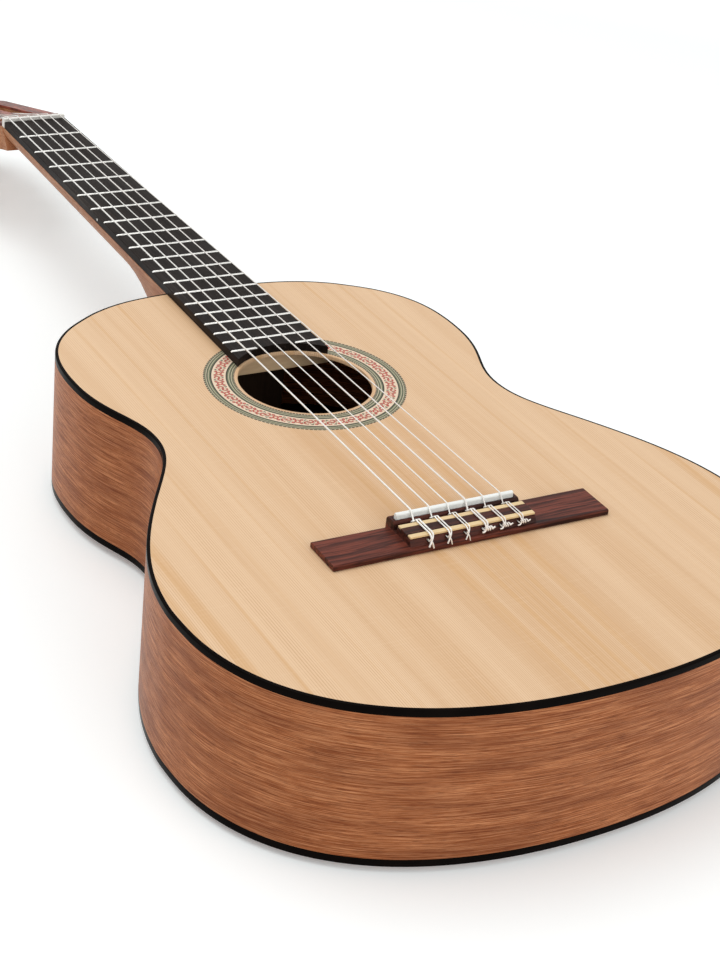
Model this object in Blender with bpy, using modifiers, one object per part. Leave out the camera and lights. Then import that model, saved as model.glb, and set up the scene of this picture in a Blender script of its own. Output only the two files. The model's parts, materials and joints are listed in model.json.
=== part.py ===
"""Classical guitar lying on its back: box, neck, slotted head, bridge, strings and worm-geared tuners.

The pieces are drawn from the saddle line (y = 0) and the outer face of the soundboard (z = 0), with +Y
towards the head and +X on the treble side. The head's pieces are drawn in the head's own tilted frame.
The last step moves everything so that the origin is on the floor, under the middle of the length.
"""

from math import asin, cos, pi, radians, sin, sqrt, tan

import bmesh
import bpy
from mathutils import Matrix, Vector
from mathutils.geometry import interpolate_bezier

# Driving dimensions, in metres and degrees -----------------------------------------------------

SEAT = 0.0003  # gap left between two pieces that touch

SCALE_LENGTH = 0.650  # saddle to nut
JOINT_FRET = 12  # the fret at the edge of the body
JOINT_BEFORE_FRET = 0.0034  # that fret stands this far up the neck from the edge

# Half outline of the body from the tail to the neck, as curve stations: half width, distance back from
# the neck end as a share of the body's length, heading in degrees from +Y towards the centre line, and
# the reach of the handles that arrive at the station and leave it.
BODY_LENGTH = 0.4849
LOWER_BOUT_WIDTH = 0.3670
WAIST_WIDTH = 0.2376
UPPER_BOUT_WIDTH = 0.2760
FLANK_SHARE = 0.58  # place of the station between waist and lower bout, from one width to the other
SHOULDER_SHARE = 0.677  # half width at the shoulder's station, as a share of the upper bout's
BODY_STATIONS = (
    (0.0, 1.0, -90, 0.0, 0.112),
    (LOWER_BOUT_WIDTH / 2, 0.7292, 0, 0.086, 0.033),
    ((WAIST_WIDTH + (LOWER_BOUT_WIDTH - WAIST_WIDTH) * FLANK_SHARE) / 2, 0.544, 29.2, 0.033, 0.044),
    (WAIST_WIDTH / 2, 0.3795, 0, 0.0261, 0.0285),
    (UPPER_BOUT_WIDTH / 2, 0.2047, 0, 0.0449, 0.0263),
    (UPPER_BOUT_WIDTH / 2 * SHOULDER_SHARE, 0.0386, 58.5, 0.048, 0.026),
    (0.0, 0.0, 90, 0.0515, 0.0),
)
SPAN_STEPS = (10, 6, 7, 8, 6, 6)  # facets in each span of the outline

SIDE_DEPTH_TAIL = 0.0965  # top face to the back's edge
SIDE_DEPTH_NECK = 0.0943
BACK_ARCH = 0.0030  # how far the back's flat middle stands past its deepest edge
FLAT_ACROSS = 0.12  # the flat's share of the back's width and length
FLAT_ALONG = 0.80
TOP_THICKNESS = 0.0025
BACK_THICKNESS = 0.0025
RIB_THICKNESS = 0.0020
LINING_REACH = 0.0080  # how far the linings stand in from the outside
LINING_EDGE = 0.0090  # height of their inner face
LINING_HEIGHT = 0.0150
BINDING_WIDTH = 0.0020
BINDING_EASE = 0.0006  # worn corner of the binding
TOP_BINDING_HEIGHT = 0.0041
BACK_BINDING_HEIGHT = 0.0050

SOUNDHOLE_FROM_JOINT = 0.1459
SOUNDHOLE_RADIUS = 0.0421
ROSETTE_MARGIN = 0.0021  # soundboard left between the hole and the rosette
ROSETTE_WIDTH = 0.0193
ROSETTE_THICKNESS = 0.0010
RING_STEPS = 44

BLOCK_HALF_WIDTH = 0.034  # neck block
BLOCK_LENGTH = 0.058
TAIL_HALF_WIDTH = 0.030
TAIL_LENGTH = 0.018
BLOCK_SEAT = 0.0004  # what is left of the lining behind a block

BAR_WIDTH = 0.006  # the two cross bars beside the soundhole
BAR_HEIGHT = 0.014
BAR_TIP = 0.004
BAR_TAPER = 0.045
UPPER_BAR_FROM_HOLE = 0.0102  # from the soundhole's edge to the bar's middle
LOWER_BAR_FROM_HOLE = 0.026
FAN_COUNT = 5
FAN_SPREAD = 8.0  # degrees from one strut to the next
FAN_WIDTH = 0.006
FAN_HEIGHT = 0.005
FAN_TIP = 0.0015  # height left at a strut's ends
FAN_TAPER = 0.030
FAN_START = 0.012  # distance past the lower cross bar
FAN_FROM_TAIL = 0.074  # where the middle strut ends
FAN_APEX = 0.150  # where the struts would meet, up from the lower cross bar
BACK_BARS_FROM_JOINT = (0.098, 0.212, 0.368)
BACK_BAR_WIDTH = 0.008
BACK_BAR_HEIGHT = 0.013
BRACE_SEAT = 1.5 * SEAT  # the braces on the back, whose arch is faceted

NUT_BOARD_WIDTH = 0.0512  # fingerboard at the nut
JOINT_BOARD_WIDTH = 0.0606  # and at the joint fret
BOARD_THICKNESS = 0.0055
BOARD_HORNS = 0.0138  # how far the board's two corners reach down beside the soundhole
BOARD_ARC_CLEARANCE = 0.0019  # between the soundhole's edge and the arc in the board's end
FRET_WIDTH = 0.0021
FRET_CROWN = 0.0010
FRET_CREST = 0.0009  # flat on top of the crown
FRET_SIDE = 0.0003  # upright part of the crown's side
FRET_INSET = 0.0002  # from the board's edge
FRET_FOOT = 0.0006  # sunk into the board
LAST_FRET_MARGIN = 0.006  # least distance from the last fret to the board's end

NUT_THICKNESS = 0.0055
NUT_OVER_BOARD = 0.0024
NUT_FALL = 0.0010  # the top slopes down towards the head
NUT_EASE = 0.0015  # length of the worn front edge
NUT_EASE_DROP = 0.0003
NECK_OVERLAP = 0.004  # how far the neck is drawn into the box before the box is cut away
NECK_DEPTH_NUT = 0.0165
NECK_DEPTH_HEEL = 0.0190
NECK_FACETS = 14  # round the neck's section
NECK_ROUND = 2.3  # exponent of the neck's rounded section
HEEL_ROUND = 1.45
HEEL_PAST_FOOT = 0.0257  # depth of the heel's section past its foot, where it is cut flat
HEEL_FOOT = 0.017  # length of the heel at its foot
HEEL_SWEEP = 0.062  # length of the curve that joins the heel to the neck
HEEL_CAP_THICKNESS = 0.0025
HEEL_CAP_NOSE = 0.0008  # least half width of the cap

HEAD_ANGLE = 14.0
HEAD_LENGTH = 0.190
HEAD_WIDTH = 0.072
HEAD_THICKNESS = 0.0190
HEAD_FLARE = 0.026  # length over which the nut's width grows to the head's
HEAD_CROWN = 0.009  # rise of the arch at the tip
HEAD_CROWN_START = 0.012
HEAD_CORNER = (0.003, 0.006)  # cut off each corner beside the arch, across and along
HEAD_CORNER_STEP = 0.008  # from the head's side to the arch's end
HEADPLATE_THICKNESS = 0.0020
SLOT_WIDTH = 0.0145
SLOT_BAR = 0.0140  # wood between the two slots
SLOT_START = 0.018
SLOT_PAST_POST = 0.023  # last post to the slot's end
SLOT_RAMP_ANGLE = 52.0
SLOT_RAMP_REACH = 0.006  # from the slot's end towards the nut, at the face

POST_SPACING = 0.035
POST_FIRST = 0.055  # nut to the first tuning post
POST_DEPTH = 0.0098  # post axis under the head's face
ROLLER_RADIUS = 0.0050
ROLLER_PIN = 0.0025
ROLLER_PIN_LENGTH = 0.0055
RUNNING_GAP = 0.0003  # round every turning shaft
WINDING_HEIGHT = 0.0009
WINDING_HALF = 0.0026
WINDING_EASE = 0.0006
SHAFT_PROUD = 0.0004  # of the gear
WINDING_OFFSETS = (-0.0015, 0.0010, 0.0042)  # third, second and first post, outwards from the slot's middle

PLATE_THICKNESS = 0.0012
PLATE_MARGIN = 0.0215  # outermost posts to the plate's ends, on average
PLATE_HEIGHT = 0.0150
PLATE_CORNER = 0.004
EAR_THICKNESS = 0.0014
EAR_HALF_WIDTH = 0.0034
EAR_PROUD = 0.0038  # from the worm's axis to the ear's outer end

GEAR_TEETH = 14
GEAR_MODULE = 0.0008
GEAR_WIDTH = 0.0030
ADDENDUM = 0.875 * GEAR_MODULE
DEDENDUM = 1.25 * GEAR_MODULE
TOOTH_TIP_WIDTH = 0.5625 * GEAR_MODULE
TOOTH_ROOT_WIDTH = 1.875 * GEAR_MODULE
TIP_CLEARANCE = 0.0002  # between the wheel's teeth and the worm's shaft, besides the mesh's
MESH_CLEARANCE = 0.0001
WORM_HALF_LENGTH = 0.0046
WORM_SHAFT = 0.0016
WORM_SHAFT_PROUD = 0.0008  # of the upper ear
WORM_STEPS = 10
THREAD_FOOT = 0.7  # radius at which the thread starts inside the shaft, as a share of the shaft's

BUTTON_DROP = 0.0050  # head's back to the button's collar
BUTTON_LENGTH = 0.0165
BUTTON_WIDTH = 0.0190
BUTTON_THICKNESS = 0.0085
BUTTON_ROUND = 0.0030
BUTTON_FOOT = (0.80, 0.86, 1)  # thickness, width and length at its far end, as shares
BUTTON_COLLAR = 0.0032
BUTTON_NECK = 0.0030  # height of the collar that shows
BUTTON_BORE = 0.0080

BRIDGE_WIDTH = 0.1770
BRIDGE_FRONT = 0.0013  # wings' front edge, ahead of the saddle line
BRIDGE_REAR = 0.0250
WING_THICKNESS = 0.0036
WING_EDGE = 0.0010
BLOCK_WIDTH = 0.0810
SADDLE_LENGTH = 0.0760
SADDLE_THICKNESS = 0.0028
SADDLE_OVER_BOARD = 0.0065
SADDLE_SHOULDER = 0.0011  # depth of the saddle's rounded top
SADDLE_CROWN = 0.0003
SADDLE_ROUND = 0.0005
SADDLE_SEAT_HEIGHT = 0.0040  # bottom of the saddle's slot above the soundboard
SADDLE_BLOCK_WALL = 0.0031  # in front of the saddle
SADDLE_BLOCK_EASE = (0.0012, 0.0015)
SADDLE_BLOCK_TOP = 0.0086
CHANNEL_WALL = 0.0024  # behind the saddle
CHANNEL_EASE = 0.0010
CHANNEL_SLOPE = 0.0010
CHANNEL_FLOOR = 0.0042
TIE_FRONT = 0.0072
TIE_REAR = 0.0206
TIE_FOOT = 0.0022  # how far the block's rear slope runs out
TIE_TOP = 0.0088
TIE_HOLE_HEIGHT = 0.0056
TIE_HOLE_RADIUS = 0.0011
INLAY_WIDTH = 0.0031
INLAY_THICKNESS = 0.0012
INLAY_LENGTH = 0.0800

STRING_DIAMETERS = (0.00071, 0.00081, 0.00102, 0.00074, 0.00089, 0.00109)  # first to sixth
STRINGS_AT_NUT = 0.0430  # first string to sixth
STRINGS_AT_SADDLE = 0.0580
STRING_OVER_FRETS = 0.0011  # the strings' centres over the fret crowns at the nut
STRING_SIDES = 2  # bevel resolution of the strings
STRING_LOOP = 0.0034  # how far the loop stands out behind the tie block
STRING_LOOP_BEND = 0.0010

PAST = 0.020  # how far a cutter runs past what it cuts

# Values that follow from them ------------------------------------------------------------------

JOINT_FRET_Y = SCALE_LENGTH * 2 ** (-JOINT_FRET / 12)
JOINT_Y = JOINT_FRET_Y - JOINT_BEFORE_FRET
TAIL_Y = JOINT_Y - BODY_LENGTH
HOLE_Y = JOINT_Y - SOUNDHOLE_FROM_JOINT
BOARD_END_Y = HOLE_Y + SOUNDHOLE_RADIUS - BOARD_HORNS
BOARD_ARC_RADIUS = SOUNDHOLE_RADIUS + BOARD_ARC_CLEARANCE
BOARD_TOP = BOARD_THICKNESS
NUT_HEIGHT = BOARD_TOP + NUT_OVER_BOARD
SADDLE_TOP = BOARD_TOP + SADDLE_OVER_BOARD
CENTRE_DEPTH = max(SIDE_DEPTH_TAIL, SIDE_DEPTH_NECK) + BACK_ARCH
ROSETTE_INNER = SOUNDHOLE_RADIUS + ROSETTE_MARGIN
ROSETTE_OUTER = ROSETTE_INNER + ROSETTE_WIDTH
HEAD_Y = SCALE_LENGTH + NUT_THICKNESS + 2 * SEAT
MIDDLE_Y = JOINT_Y - BODY_LENGTH / 2
UPPER_BAR_Y = HOLE_Y + SOUNDHOLE_RADIUS + UPPER_BAR_FROM_HOLE
LOWER_BAR_Y = HOLE_Y - SOUNDHOLE_RADIUS - LOWER_BAR_FROM_HOLE

SLOT_CENTRE = (SLOT_BAR + SLOT_WIDTH) / 2
POSTS = tuple(POST_FIRST + i * POST_SPACING for i in range(3))
HEAD_SIDE = HEAD_WIDTH / 2
SLOT_END = POSTS[-1] + SLOT_PAST_POST
PLATE_LENGTH = POSTS[-1] - POSTS[0] + 2 * PLATE_MARGIN
PLATE_X = HEAD_SIDE + SEAT + PLATE_THICKNESS
GEAR_RADIUS = GEAR_TEETH * GEAR_MODULE / 2
WORM_LEAD = pi * GEAR_MODULE
WORM_PITCH_RADIUS = WORM_SHAFT + ADDENDUM + TIP_CLEARANCE
WORM_CREST = WORM_PITCH_RADIUS + ADDENDUM
WORM_ROOT = WORM_PITCH_RADIUS - DEDENDUM
WORM_X = PLATE_X + RUNNING_GAP + WORM_CREST
WORM_OFFSET = GEAR_RADIUS + WORM_PITCH_RADIUS + MESH_CLEARANCE
LEAD_ANGLE = WORM_LEAD / (2 * pi * WORM_PITCH_RADIUS)

SADDLE_BLOCK_FRONT = SADDLE_THICKNESS / 2 + SADDLE_BLOCK_WALL
CHANNEL_START = SADDLE_THICKNESS / 2 + CHANNEL_WALL
TIE_END = TIE_REAR + TIE_FOOT

X_AXIS, Y_AXIS, Z_AXIS = Vector((1, 0, 0)), Vector((0, 1, 0)), Vector((0, 0, 1))

for old in list(bpy.data.objects):
    bpy.data.objects.remove(old, do_unlink=True)

scene_root = bpy.context.scene.collection
parts = bpy.data.collections.new("classical_guitar")
cutters = bpy.data.collections.new("cutters")
scene_root.children.link(parts)
scene_root.children.link(cutters)

guitar_frame = bpy.data.objects.new("guitar_frame", None)
head_frame = bpy.data.objects.new("head_frame", None)
for empty in (guitar_frame, head_frame):
    parts.objects.link(empty)
head_frame.parent = guitar_frame
head_frame.location = (0, HEAD_Y, 0)
head_frame.rotation_euler = (-radians(HEAD_ANGLE), 0, 0)


# Materials -------------------------------------------------------------------------------------


def material(name, colour, roughness, metallic=0.0):
    made = bpy.data.materials.new(name)
    made.use_nodes = True
    shader = made.node_tree.nodes["Principled BSDF"]
    shader.inputs["Base Color"].default_value = (*colour, 1)
    shader.inputs["Roughness"].default_value = roughness
    shader.inputs["Metallic"].default_value = metallic
    return made


SPRUCE = material("soundboard_spruce", (0.72, 0.47, 0.25), 0.45)
BRACE_SPRUCE = material("brace_spruce", (0.66, 0.46, 0.27), 0.7)
MAHOGANY = material("mahogany", (0.33, 0.13, 0.07), 0.4)
NECK_WOOD = material("neck_wood", (0.40, 0.19, 0.10), 0.45)
BLOCK_WOOD = material("block_wood", (0.62, 0.43, 0.26), 0.7)
BLACK_BINDING = material("black_binding", (0.012, 0.011, 0.011), 0.25)
BOARD_WOOD = material("dark_fingerboard_wood", (0.035, 0.026, 0.022), 0.45)
ROSEWOOD = material("rosewood", (0.11, 0.03, 0.022), 0.4)
BONE = material("bone", (0.86, 0.82, 0.72), 0.35)
MARQUETRY = material("marquetry", (0.45, 0.33, 0.20), 0.4)
NICKEL = material("nickel_plate", (0.62, 0.60, 0.56), 0.25, 1.0)
BRASS = material("gear_brass", (0.66, 0.46, 0.20), 0.3, 1.0)
ROLLER_PLASTIC = material("roller_plastic", (0.82, 0.79, 0.70), 0.4)
PEARL = material("button_pearl", (0.84, 0.80, 0.70), 0.25)
NYLON = material("nylon", (0.80, 0.80, 0.76), 0.3)
WOUND = material("silvered_winding", (0.70, 0.70, 0.68), 0.3, 1.0)


# Modelling helpers -----------------------------------------------------------------------------


def keep(name, mesh, finish=None, frame=guitar_frame, place=None):
    """Makes a part of a mesh, or a cutter where no finish is given."""
    made = bpy.data.objects.new(name, mesh)
    if finish:
        mesh.materials.clear()
        mesh.materials.append(finish)
        parts.objects.link(made)
    else:
        cutters.objects.link(made)
        made.hide_render = True
        made.display_type = "WIRE"
    made.parent = frame
    if place:
        made.matrix_local = place
    return made


def mesh_of(name, bm):
    bmesh.ops.recalc_face_normals(bm, faces=bm.faces)
    mesh = bpy.data.meshes.new(name)
    bm.to_mesh(mesh)
    bm.free()
    return mesh


def smooth(made, angle=35):
    made.data.shade_smooth()
    made.data.set_sharp_from_angle(angle=radians(angle))
    return made


def boolean(made, other, operation):
    step = made.modifiers.new(f"{operation.lower()}_{other.name}", "BOOLEAN")
    step.operation = operation
    step.object = other
    step.solver = "EXACT"


def cut(made, *tools):
    for tool in tools:
        boolean(made, tool, "DIFFERENCE")
    return made


def join(made, *others):
    for other in others:
        boolean(made, other, "UNION")
    return made


def plate_mesh(name, outlines, low, high):
    """A flat plate between two heights. The first outline is its edge and the others are holes."""
    curve = bpy.data.curves.new(name, "CURVE")
    curve.dimensions = "2D"
    curve.fill_mode = "BOTH"
    curve.extrude = (high - low) / 2
    for outline in outlines:
        spline = curve.splines.new("POLY")
        spline.points.add(len(outline) - 1)
        for point, (x, y) in zip(spline.points, outline):
            point.co = (x, y, 0, 1)
        spline.use_cyclic_u = True
    return mesh_from_curve(curve, Matrix.Translation((0, 0, (low + high) / 2)))


def mesh_from_curve(curve, place=Matrix()):
    """The curve's solid as a welded mesh, moved by the matrix, with the curve removed."""
    drawn = bpy.data.objects.new(curve.name, curve)
    scene_root.objects.link(drawn)
    bpy.context.view_layer.update()
    solid = bpy.data.meshes.new_from_object(drawn.evaluated_get(bpy.context.evaluated_depsgraph_get()))
    bpy.data.objects.remove(drawn)
    bm = bmesh.new()
    bm.from_mesh(solid)
    bmesh.ops.remove_doubles(bm, verts=bm.verts, dist=1e-6)
    bmesh.ops.transform(bm, matrix=place, verts=bm.verts)
    bpy.data.meshes.remove(solid)
    return mesh_of(curve.name, bm)


def side_plate_mesh(name, profile, low_x, high_x):
    """A profile drawn in y and z, run from one x to the other."""
    mesh = plate_mesh(name, [profile], low_x, high_x)
    mesh.transform(Matrix(((0, 0, 1, 0), (1, 0, 0, 0), (0, 1, 0, 0), (0, 0, 0, 1))))
    return mesh


def front_plate_mesh(name, profile, low_y, high_y):
    """A profile drawn in x and z, run from one y to the other."""
    mesh = plate_mesh(name, [profile], -high_y, -low_y)
    mesh.transform(Matrix.Rotation(pi / 2, 4, "X"))
    return mesh


def loft_mesh(name, rings, closed=False):
    """Skins equal rings of points, capped at both ends or closed into a loop."""
    bm = bmesh.new()
    rows = [[bm.verts.new(point) for point in ring] for ring in rings]
    count = len(rows[0])
    pairs = list(zip(rows, rows[1:] + rows[:1])) if closed else list(zip(rows, rows[1:]))
    for row, following in pairs:
        for i in range(count):
            j = (i + 1) % count
            bm.faces.new((row[i], row[j], following[j], following[i]))
    if not closed:
        bm.faces.new(rows[0])
        bm.faces.new(rows[-1])
    return mesh_of(name, bm)


def cylinder_mesh(name, radius, start, end, steps=16):
    """A cylinder from one point to another."""
    start, end = Vector(start), Vector(end)
    bm = bmesh.new()
    bmesh.ops.create_cone(bm, cap_ends=True, segments=steps, radius1=radius, radius2=radius,
                          depth=(end - start).length)
    turn = (end - start).to_track_quat("Z", "Y").to_matrix().to_4x4()
    bmesh.ops.transform(bm, matrix=Matrix.Translation((start + end) / 2) @ turn, verts=bm.verts)
    return mesh_of(name, bm)


def box_mesh(name, low, high):
    low, high = Vector(low), Vector(high)
    bm = bmesh.new()
    bmesh.ops.create_cube(bm, size=1)
    bmesh.ops.scale(bm, vec=high - low, verts=bm.verts)
    bmesh.ops.translate(bm, vec=(low + high) / 2, verts=bm.verts)
    return mesh_of(name, bm)


def turned(name, profile, steps, finish, frame=guitar_frame, place=None):
    """A profile of (radius, height) points, bottom to top, turned about Z by a Screw modifier."""
    mesh = bpy.data.meshes.new(name)
    points = [(radius, 0, height) for radius, height in reversed(profile)]
    mesh.from_pydata(points, [(i, i + 1) for i in range(len(points) - 1)], [])
    made = keep(name, mesh, finish, frame, place)
    screw = made.modifiers.new("turn", "SCREW")
    screw.steps = screw.render_steps = steps
    screw.use_merge_vertices = True
    screw.merge_threshold = 1e-6
    screw.use_smooth_shade = True
    return made


# Outline of the box ----------------------------------------------------------------------------


def half_outline(inset=0.0):
    """Points of the treble half from the tail to the neck end, moved in from the edge by the inset."""
    points = []
    for (first, second, steps) in zip(BODY_STATIONS, BODY_STATIONS[1:], SPAN_STEPS):
        start = Vector((first[0], JOINT_Y - first[1] * BODY_LENGTH, 0))
        end = Vector((second[0], JOINT_Y - second[1] * BODY_LENGTH, 0))
        leave, arrive = (Vector((-sin(radians(s[2])), cos(radians(s[2])), 0)) for s in (first, second))
        span = interpolate_bezier(start, start + leave * first[4], end - arrive * second[3], end, steps + 1)
        points += span[:-1]
    points.append(end)
    moved = []
    for i, point in enumerate(points):
        ahead, behind = points[min(i + 1, len(points) - 1)], points[max(i - 1, 0)]
        if i in (0, len(points) - 1):
            inward = Vector((0, 1 if i == 0 else -1))
        else:
            run = (ahead - behind).normalized()
            inward = Vector((-run.y, run.x))
        moved.append(point.to_2d() + inward * inset)
    return moved


def full_outline(inset=0.0):
    """The whole closed outline, anticlockwise from the tail."""
    half = half_outline(inset)
    return half + [Vector((-p.x, p.y)) for p in half[-2:0:-1]]


def half_width(y, inset=0.0):
    """Half width of the body at a station along it."""
    half = half_outline(inset)
    widest = 0.0
    for a, b in zip(half, half[1:]):
        if min(a.y, b.y) <= y <= max(a.y, b.y) and a.y != b.y:
            widest = max(widest, a.x + (b.x - a.x) * (y - a.y) / (b.y - a.y))
    return widest


def side_depth(y):
    return SIDE_DEPTH_NECK + (SIDE_DEPTH_TAIL - SIDE_DEPTH_NECK) * (JOINT_Y - y) / BODY_LENGTH


PANEL_INSET = BINDING_WIDTH + SEAT


def back_ring(share):
    """A closed line on the back's outer face: share 1 is the edge and 0 the border of the flat."""
    across = FLAT_ACROSS + (1 - FLAT_ACROSS) * share
    along = FLAT_ALONG + (1 - FLAT_ALONG) * share
    ring = []
    for edge in full_outline(PANEL_INSET):
        rise = (CENTRE_DEPTH - side_depth(edge.y)) * share**2
        ring.append(Vector((edge.x * across, MIDDLE_Y + (edge.y - MIDDLE_Y) * along, rise - CENTRE_DEPTH)))
    return ring


def back_height(x, y):
    """Height of the back's inner face at a point, found by halving the share."""
    low, high = 0.0, 1.0
    for _ in range(24):
        share = (low + high) / 2
        along = FLAT_ALONG + (1 - FLAT_ALONG) * share
        across = FLAT_ACROSS + (1 - FLAT_ACROSS) * share
        inside = abs(x) < across * half_width(MIDDLE_Y + (y - MIDDLE_Y) / along, PANEL_INSET)
        low, high = (low, share) if inside else (share, high)
    rise = (CENTRE_DEPTH - side_depth(y)) * share**2
    return rise - CENTRE_DEPTH + BACK_THICKNESS


# Box -------------------------------------------------------------------------------------------


def circle(radius, centre_y, steps=RING_STEPS):
    return [(radius * cos(2 * pi * i / steps), centre_y + radius * sin(2 * pi * i / steps))
            for i in range(steps)]


def make_soundboard():
    mesh = plate_mesh("soundboard", [full_outline(PANEL_INSET), circle(SOUNDHOLE_RADIUS, HOLE_Y)],
                      -TOP_THICKNESS, 0)
    board = keep("soundboard", mesh, SPRUCE)
    recess = ring_solid("rosette_recess", ROSETTE_INNER - SEAT, ROSETTE_OUTER + SEAT,
                        -ROSETTE_THICKNESS - SEAT, PAST)
    cut(board, recess)
    ring_solid("rosette", ROSETTE_INNER, ROSETTE_OUTER, -ROSETTE_THICKNESS, 0, MARQUETRY)


def ring_solid(name, inner, outer, low, high, finish=None):
    profile = [(inner, low), (outer, low), (outer, high), (inner, high), (inner, low)]
    return turned(name, profile, RING_STEPS, finish, place=Matrix.Translation((0, HOLE_Y, 0)))


def make_bindings():
    outer, eased, inner = full_outline(), full_outline(BINDING_EASE), full_outline(BINDING_WIDTH)
    top, back = [], []
    for o, e, i in zip(outer, eased, inner):
        top.append([(*o, -TOP_BINDING_HEIGHT), (*o, -BINDING_EASE), (*e, 0), (*i, 0),
                    (*i, -TOP_BINDING_HEIGHT)])
        low = -side_depth(o.y)
        high = low + BACK_BINDING_HEIGHT
        back.append([(*o, high), (*o, low + BINDING_EASE), (*e, low), (*i, low), (*i, high)])
    for name, sections in (("top_binding", top), ("back_binding", back)):
        smooth(keep(name, loft_mesh(name, sections, closed=True), BLACK_BINDING), 40)


def rib_section(i, walls, side):
    """Section of a rib with its two linings at one station of the outline."""
    outer, wall, panel, reach = (line[i] for line in walls)
    depth = side_depth(outer.y)
    top = -TOP_THICKNESS - SEAT
    bottom = BACK_THICKNESS + SEAT - depth
    wall_top = -TOP_BINDING_HEIGHT - SEAT
    wall_bottom = BACK_BINDING_HEIGHT + SEAT - depth
    line = [
        (outer, wall_top), (outer, wall_bottom), (panel, wall_bottom), (panel, bottom),
        (reach, bottom), (reach, bottom + LINING_EDGE), (wall, bottom + LINING_HEIGHT),
        (wall, top - LINING_HEIGHT), (reach, top - LINING_EDGE), (reach, top), (panel, top),
        (panel, wall_top),
    ]
    middle = SEAT / 2
    return [(side * max(point.x, middle), point.y, height) for point, height in line]


def make_ribs(cavities):
    walls = [half_outline(inset) for inset in (0.0, RIB_THICKNESS, PANEL_INSET, LINING_REACH)]
    for name, side in (("rib_bass", -1), ("rib_treble", 1)):
        sections = [rib_section(i, walls, side) for i in range(len(walls[0]))]
        rib = keep(name, loft_mesh(name, sections), MAHOGANY)
        smooth(cut(rib, *cavities))


def make_back():
    bm = bmesh.new()
    shares = (0.0, 0.5, 1.0)
    rows = [[bm.verts.new(point) for point in back_ring(share)] for share in shares]
    bm.faces.new(rows[0])
    for row, following in zip(rows, rows[1:]):
        for i in range(len(row)):
            j = (i + 1) % len(row)
            bm.faces.new((row[i], row[j], following[j], following[i]))
    mesh = mesh_of("back_panel", bm)
    if mesh.polygons[0].normal.z > 0:
        mesh.flip_normals()
    back = keep("back_panel", mesh, MAHOGANY)
    shell = back.modifiers.new("thickness", "SOLIDIFY")
    shell.thickness = BACK_THICKNESS
    shell.offset = -1
    return back


def end_height(x, inset, at_tail):
    """Where the outline lies at a place across, near the tail or near the neck."""
    half = half_outline(inset)
    for a, b in zip(half, half[1:]) if at_tail else zip(half[::-1], half[-2::-1]):
        if a.x <= abs(x) <= b.x:
            return a.y + (b.y - a.y) * (abs(x) - a.x) / (b.x - a.x)


def block_outline(end_y, half, length, grow=0.0):
    """Plan of an end block: the curve of the rib outside, a straight face inside."""
    inset = RIB_THICKNESS + BLOCK_SEAT + (0 if grow else SEAT)
    at_tail = end_y == TAIL_Y
    wide = half + grow
    corners = [p.x for p in half_outline(inset) if p.x < wide and abs(p.y - end_y) < length]
    across = sorted({-wide, wide, *corners, *(-x for x in corners)})
    inner_y = end_y + (length + grow) * (1 if at_tail else -1)
    curve = [(x, end_height(x, inset, at_tail)) for x in across]
    return [(-wide, inner_y), *curve, (wide, inner_y)]


def make_blocks():
    """The two end blocks, and the spaces that they need between the linings."""
    cavities = []
    for name, end_y, half, length in (("neck_block", JOINT_Y, BLOCK_HALF_WIDTH, BLOCK_LENGTH),
                                      ("tail_block", TAIL_Y, TAIL_HALF_WIDTH, TAIL_LENGTH)):
        floor = BACK_THICKNESS + SEAT - side_depth(end_y)
        outline = block_outline(end_y, half, length)
        keep(name, plate_mesh(name, [outline], floor, -TOP_THICKNESS - SEAT), BLOCK_WOOD)
        space = block_outline(end_y, half, length, SEAT)
        low = -CENTRE_DEPTH - PAST
        cavities.append(keep(f"{name}_space", plate_mesh(f"{name}_space", [space], low, PAST)))
    return cavities


def bar_reach(y, width):
    """Half length of a bar that runs across from lining to lining."""
    return min(half_width(y - width / 2, LINING_REACH), half_width(y + width / 2, LINING_REACH)) - 2 * SEAT


def make_cross_bar(name, y):
    half = bar_reach(y, BAR_WIDTH)
    top = -TOP_THICKNESS - SEAT
    profile = [(-half, top), (-half, top - BAR_TIP), (-half + BAR_TAPER, top - BAR_HEIGHT),
               (half - BAR_TAPER, top - BAR_HEIGHT), (half, top - BAR_TIP), (half, top)]
    keep(name, front_plate_mesh(name, profile, y - BAR_WIDTH / 2, y + BAR_WIDTH / 2), BRACE_SPRUCE)


def make_fan_braces():
    top = -TOP_THICKNESS - SEAT
    tip, crest = top - FAN_TIP, top - FAN_HEIGHT
    length = LOWER_BAR_Y - FAN_START - TAIL_Y - FAN_FROM_TAIL
    for i in range(FAN_COUNT):
        angle = radians((i - (FAN_COUNT - 1) / 2) * FAN_SPREAD)
        near = (FAN_APEX + FAN_START) / cos(angle)
        far = near + length
        profile = [(-near, top), (-far, top), (-far, tip), (-far + FAN_TAPER, crest),
                   (-near - FAN_TAPER, crest), (-near, tip)]
        name = f"fan_brace_{i + 1}"
        mesh = side_plate_mesh(name, profile, -FAN_WIDTH / 2, FAN_WIDTH / 2)
        place = Matrix.Translation((0, LOWER_BAR_Y + FAN_APEX, 0)) @ Matrix.Rotation(angle, 4, "Z")
        keep(name, mesh, BRACE_SPRUCE, place=place)


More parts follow.
